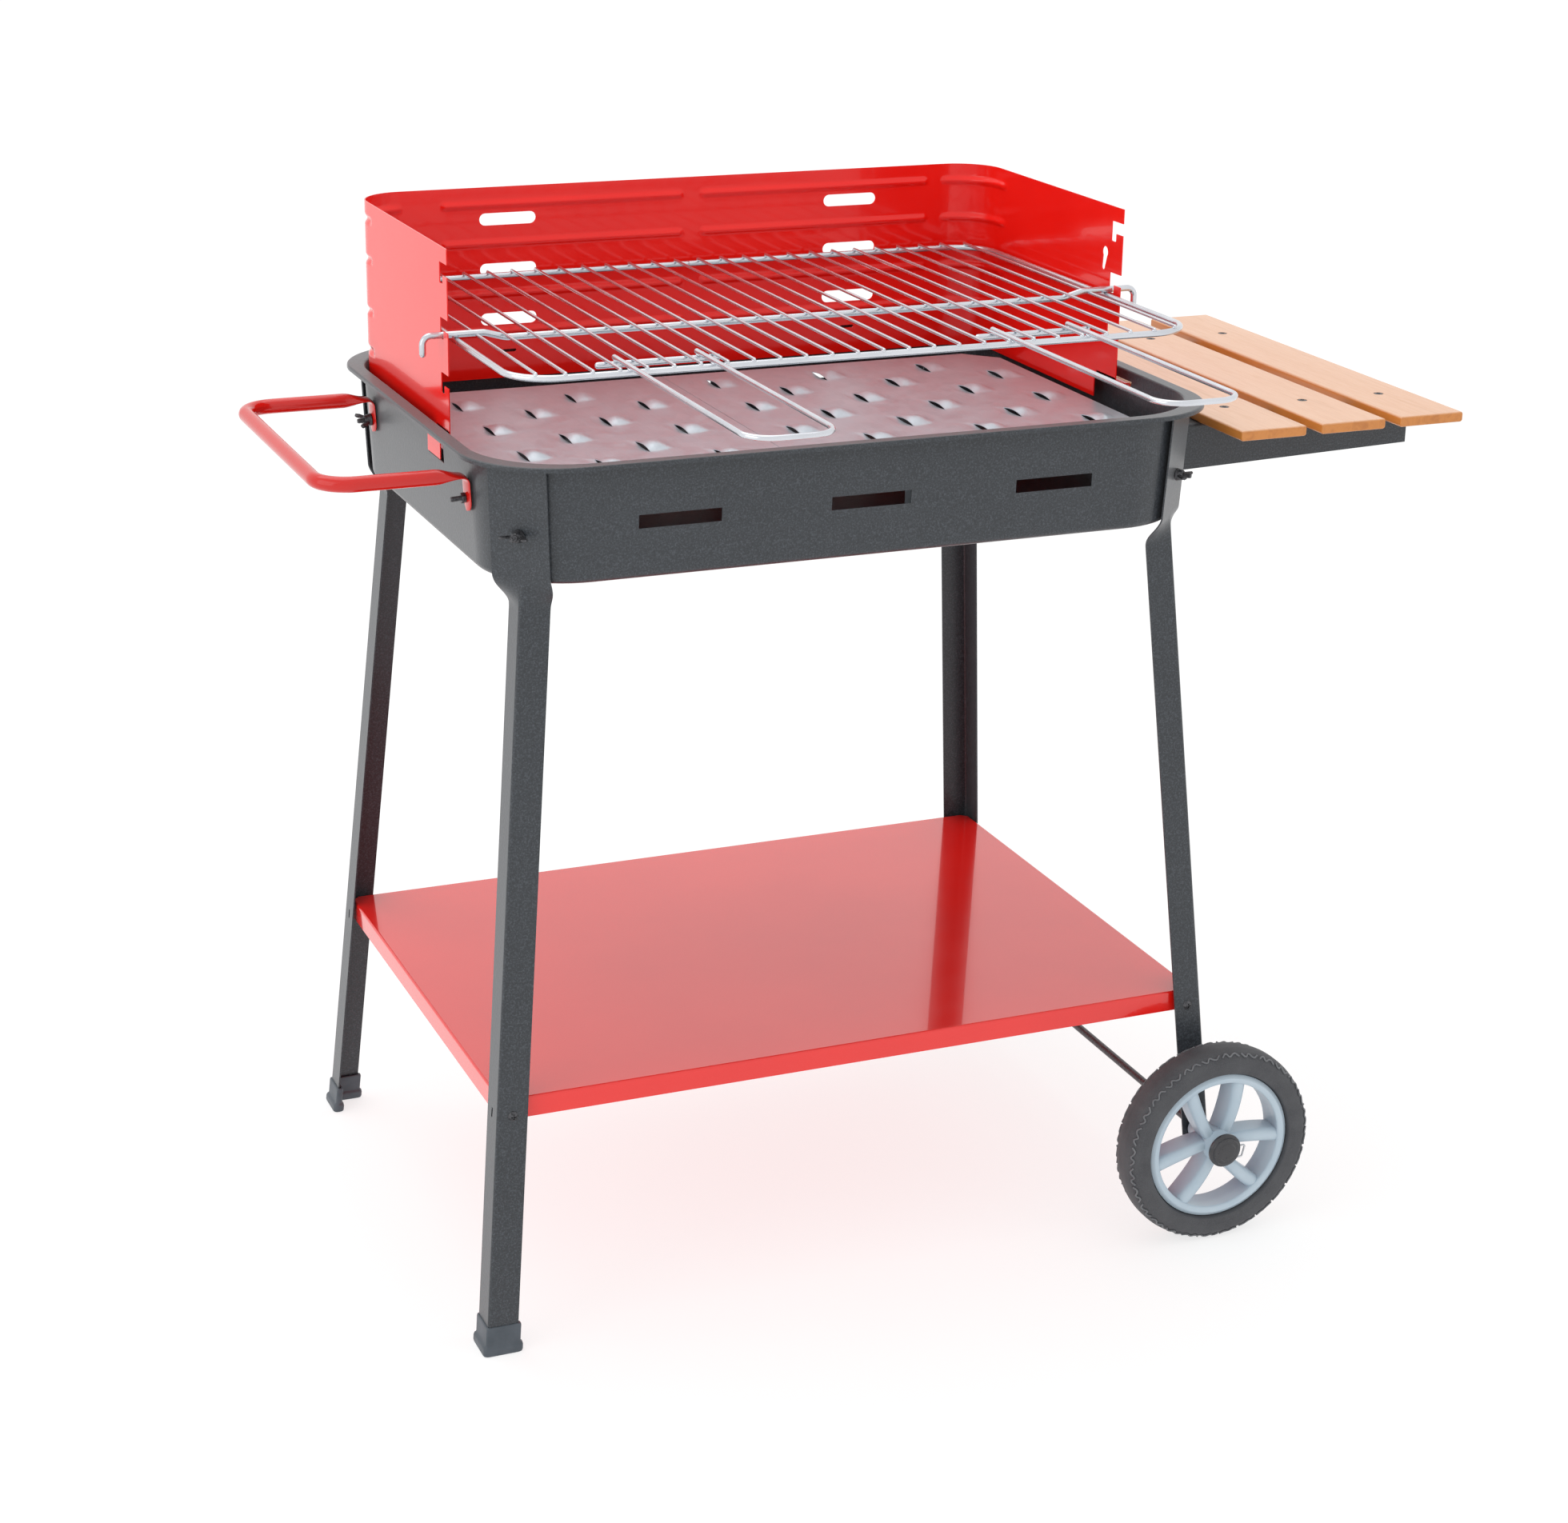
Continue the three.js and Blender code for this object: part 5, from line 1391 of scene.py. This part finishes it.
# ------------------------------------------------------- floor, light, camera
def emitter(name, location, target, size, power):
    data = bpy.data.lights.new(name, "AREA")
    data.shape = "RECTANGLE"
    data.size, data.size_y = size
    data.energy = power
    lamp = bpy.data.objects.new(name, data)
    lamp.location = location
    lamp.rotation_euler = (Vector(target) - Vector(location)).to_track_quat("-Z", "Y").to_euler()
    bpy.context.scene.collection.objects.link(lamp)


def make_stage():
    mesh = bpy.data.meshes.new("floor")
    size = 30
    corners = [(-size, -size, 0), (size, -size, 0), (size, size, 0), (-size, size, 0)]
    mesh.from_pydata(corners, [], [(0, 1, 2, 3)])
    floor = bpy.data.objects.new("floor", mesh)
    bpy.context.scene.collection.objects.link(floor)
    look = Look("studio_floor", 0.9, specular=0.05)
    look.colour(look.ramp(look.noise(2, 2), [(0.0, (0.30, 0.30, 0.30)), (1.0, (0.32, 0.32, 0.32))]))
    look.shader.inputs["Emission Color"].default_value = (1, 1, 1, 1)
    look.shader.inputs["Emission Strength"].default_value = 0.72
    mesh.materials.append(look.material)

    world = bpy.data.worlds.new("studio")
    world.use_nodes = True
    background = world.node_tree.nodes["Background"]
    background.inputs["Color"].default_value = (1, 1, 1, 1)
    background.inputs["Strength"].default_value = 1.0
    bpy.context.scene.world = world
    emitter("left_light", (-3.0, -0.6, 1.6), (0, 0, 0.6), (2.5, 2.5), 16)
    emitter("top_light", (-0.4, 0.9, 3.2), (0, 0, 0.6), (2.5, 2.5), 22)


CAMERA_PLACE = (-1095.70, -2649.89, 1466.49)
CAMERA_TURN = (-22.28, -18.74, 0.76)
CAMERA_LENS, CAMERA_SHIFT = 70.64, (0.0196, -0.0366)


def make_camera():
    """The camera stands at the front left, well above the rim, and looks slightly down."""
    yaw, pitch, roll = (math.radians(angle) for angle in CAMERA_TURN)
    forward = Vector((-math.sin(yaw) * math.cos(pitch), math.cos(yaw) * math.cos(pitch), math.sin(pitch)))
    level = Vector((math.cos(yaw), math.sin(yaw), 0))
    up = level.cross(forward)
    right = level * math.cos(roll) + up * math.sin(roll)
    above = up * math.cos(roll) - level * math.sin(roll)
    data = bpy.data.cameras.new("camera")
    data.sensor_width = 36
    data.lens = CAMERA_LENS
    data.shift_x, data.shift_y = CAMERA_SHIFT
    data.clip_end = 100
    camera = bpy.data.objects.new("camera", data)
    matrix = Matrix((right, above, -forward)).transposed().to_4x4()
    matrix.translation = ORIGIN + Vector(CAMERA_PLACE) * MM
    camera.matrix_world = matrix
    bpy.context.scene.collection.objects.link(camera)
    bpy.context.scene.camera = camera


make_stage()
make_camera()
scene = bpy.context.scene
scene.view_settings.view_transform = "Standard"
scene.view_settings.look = "None"
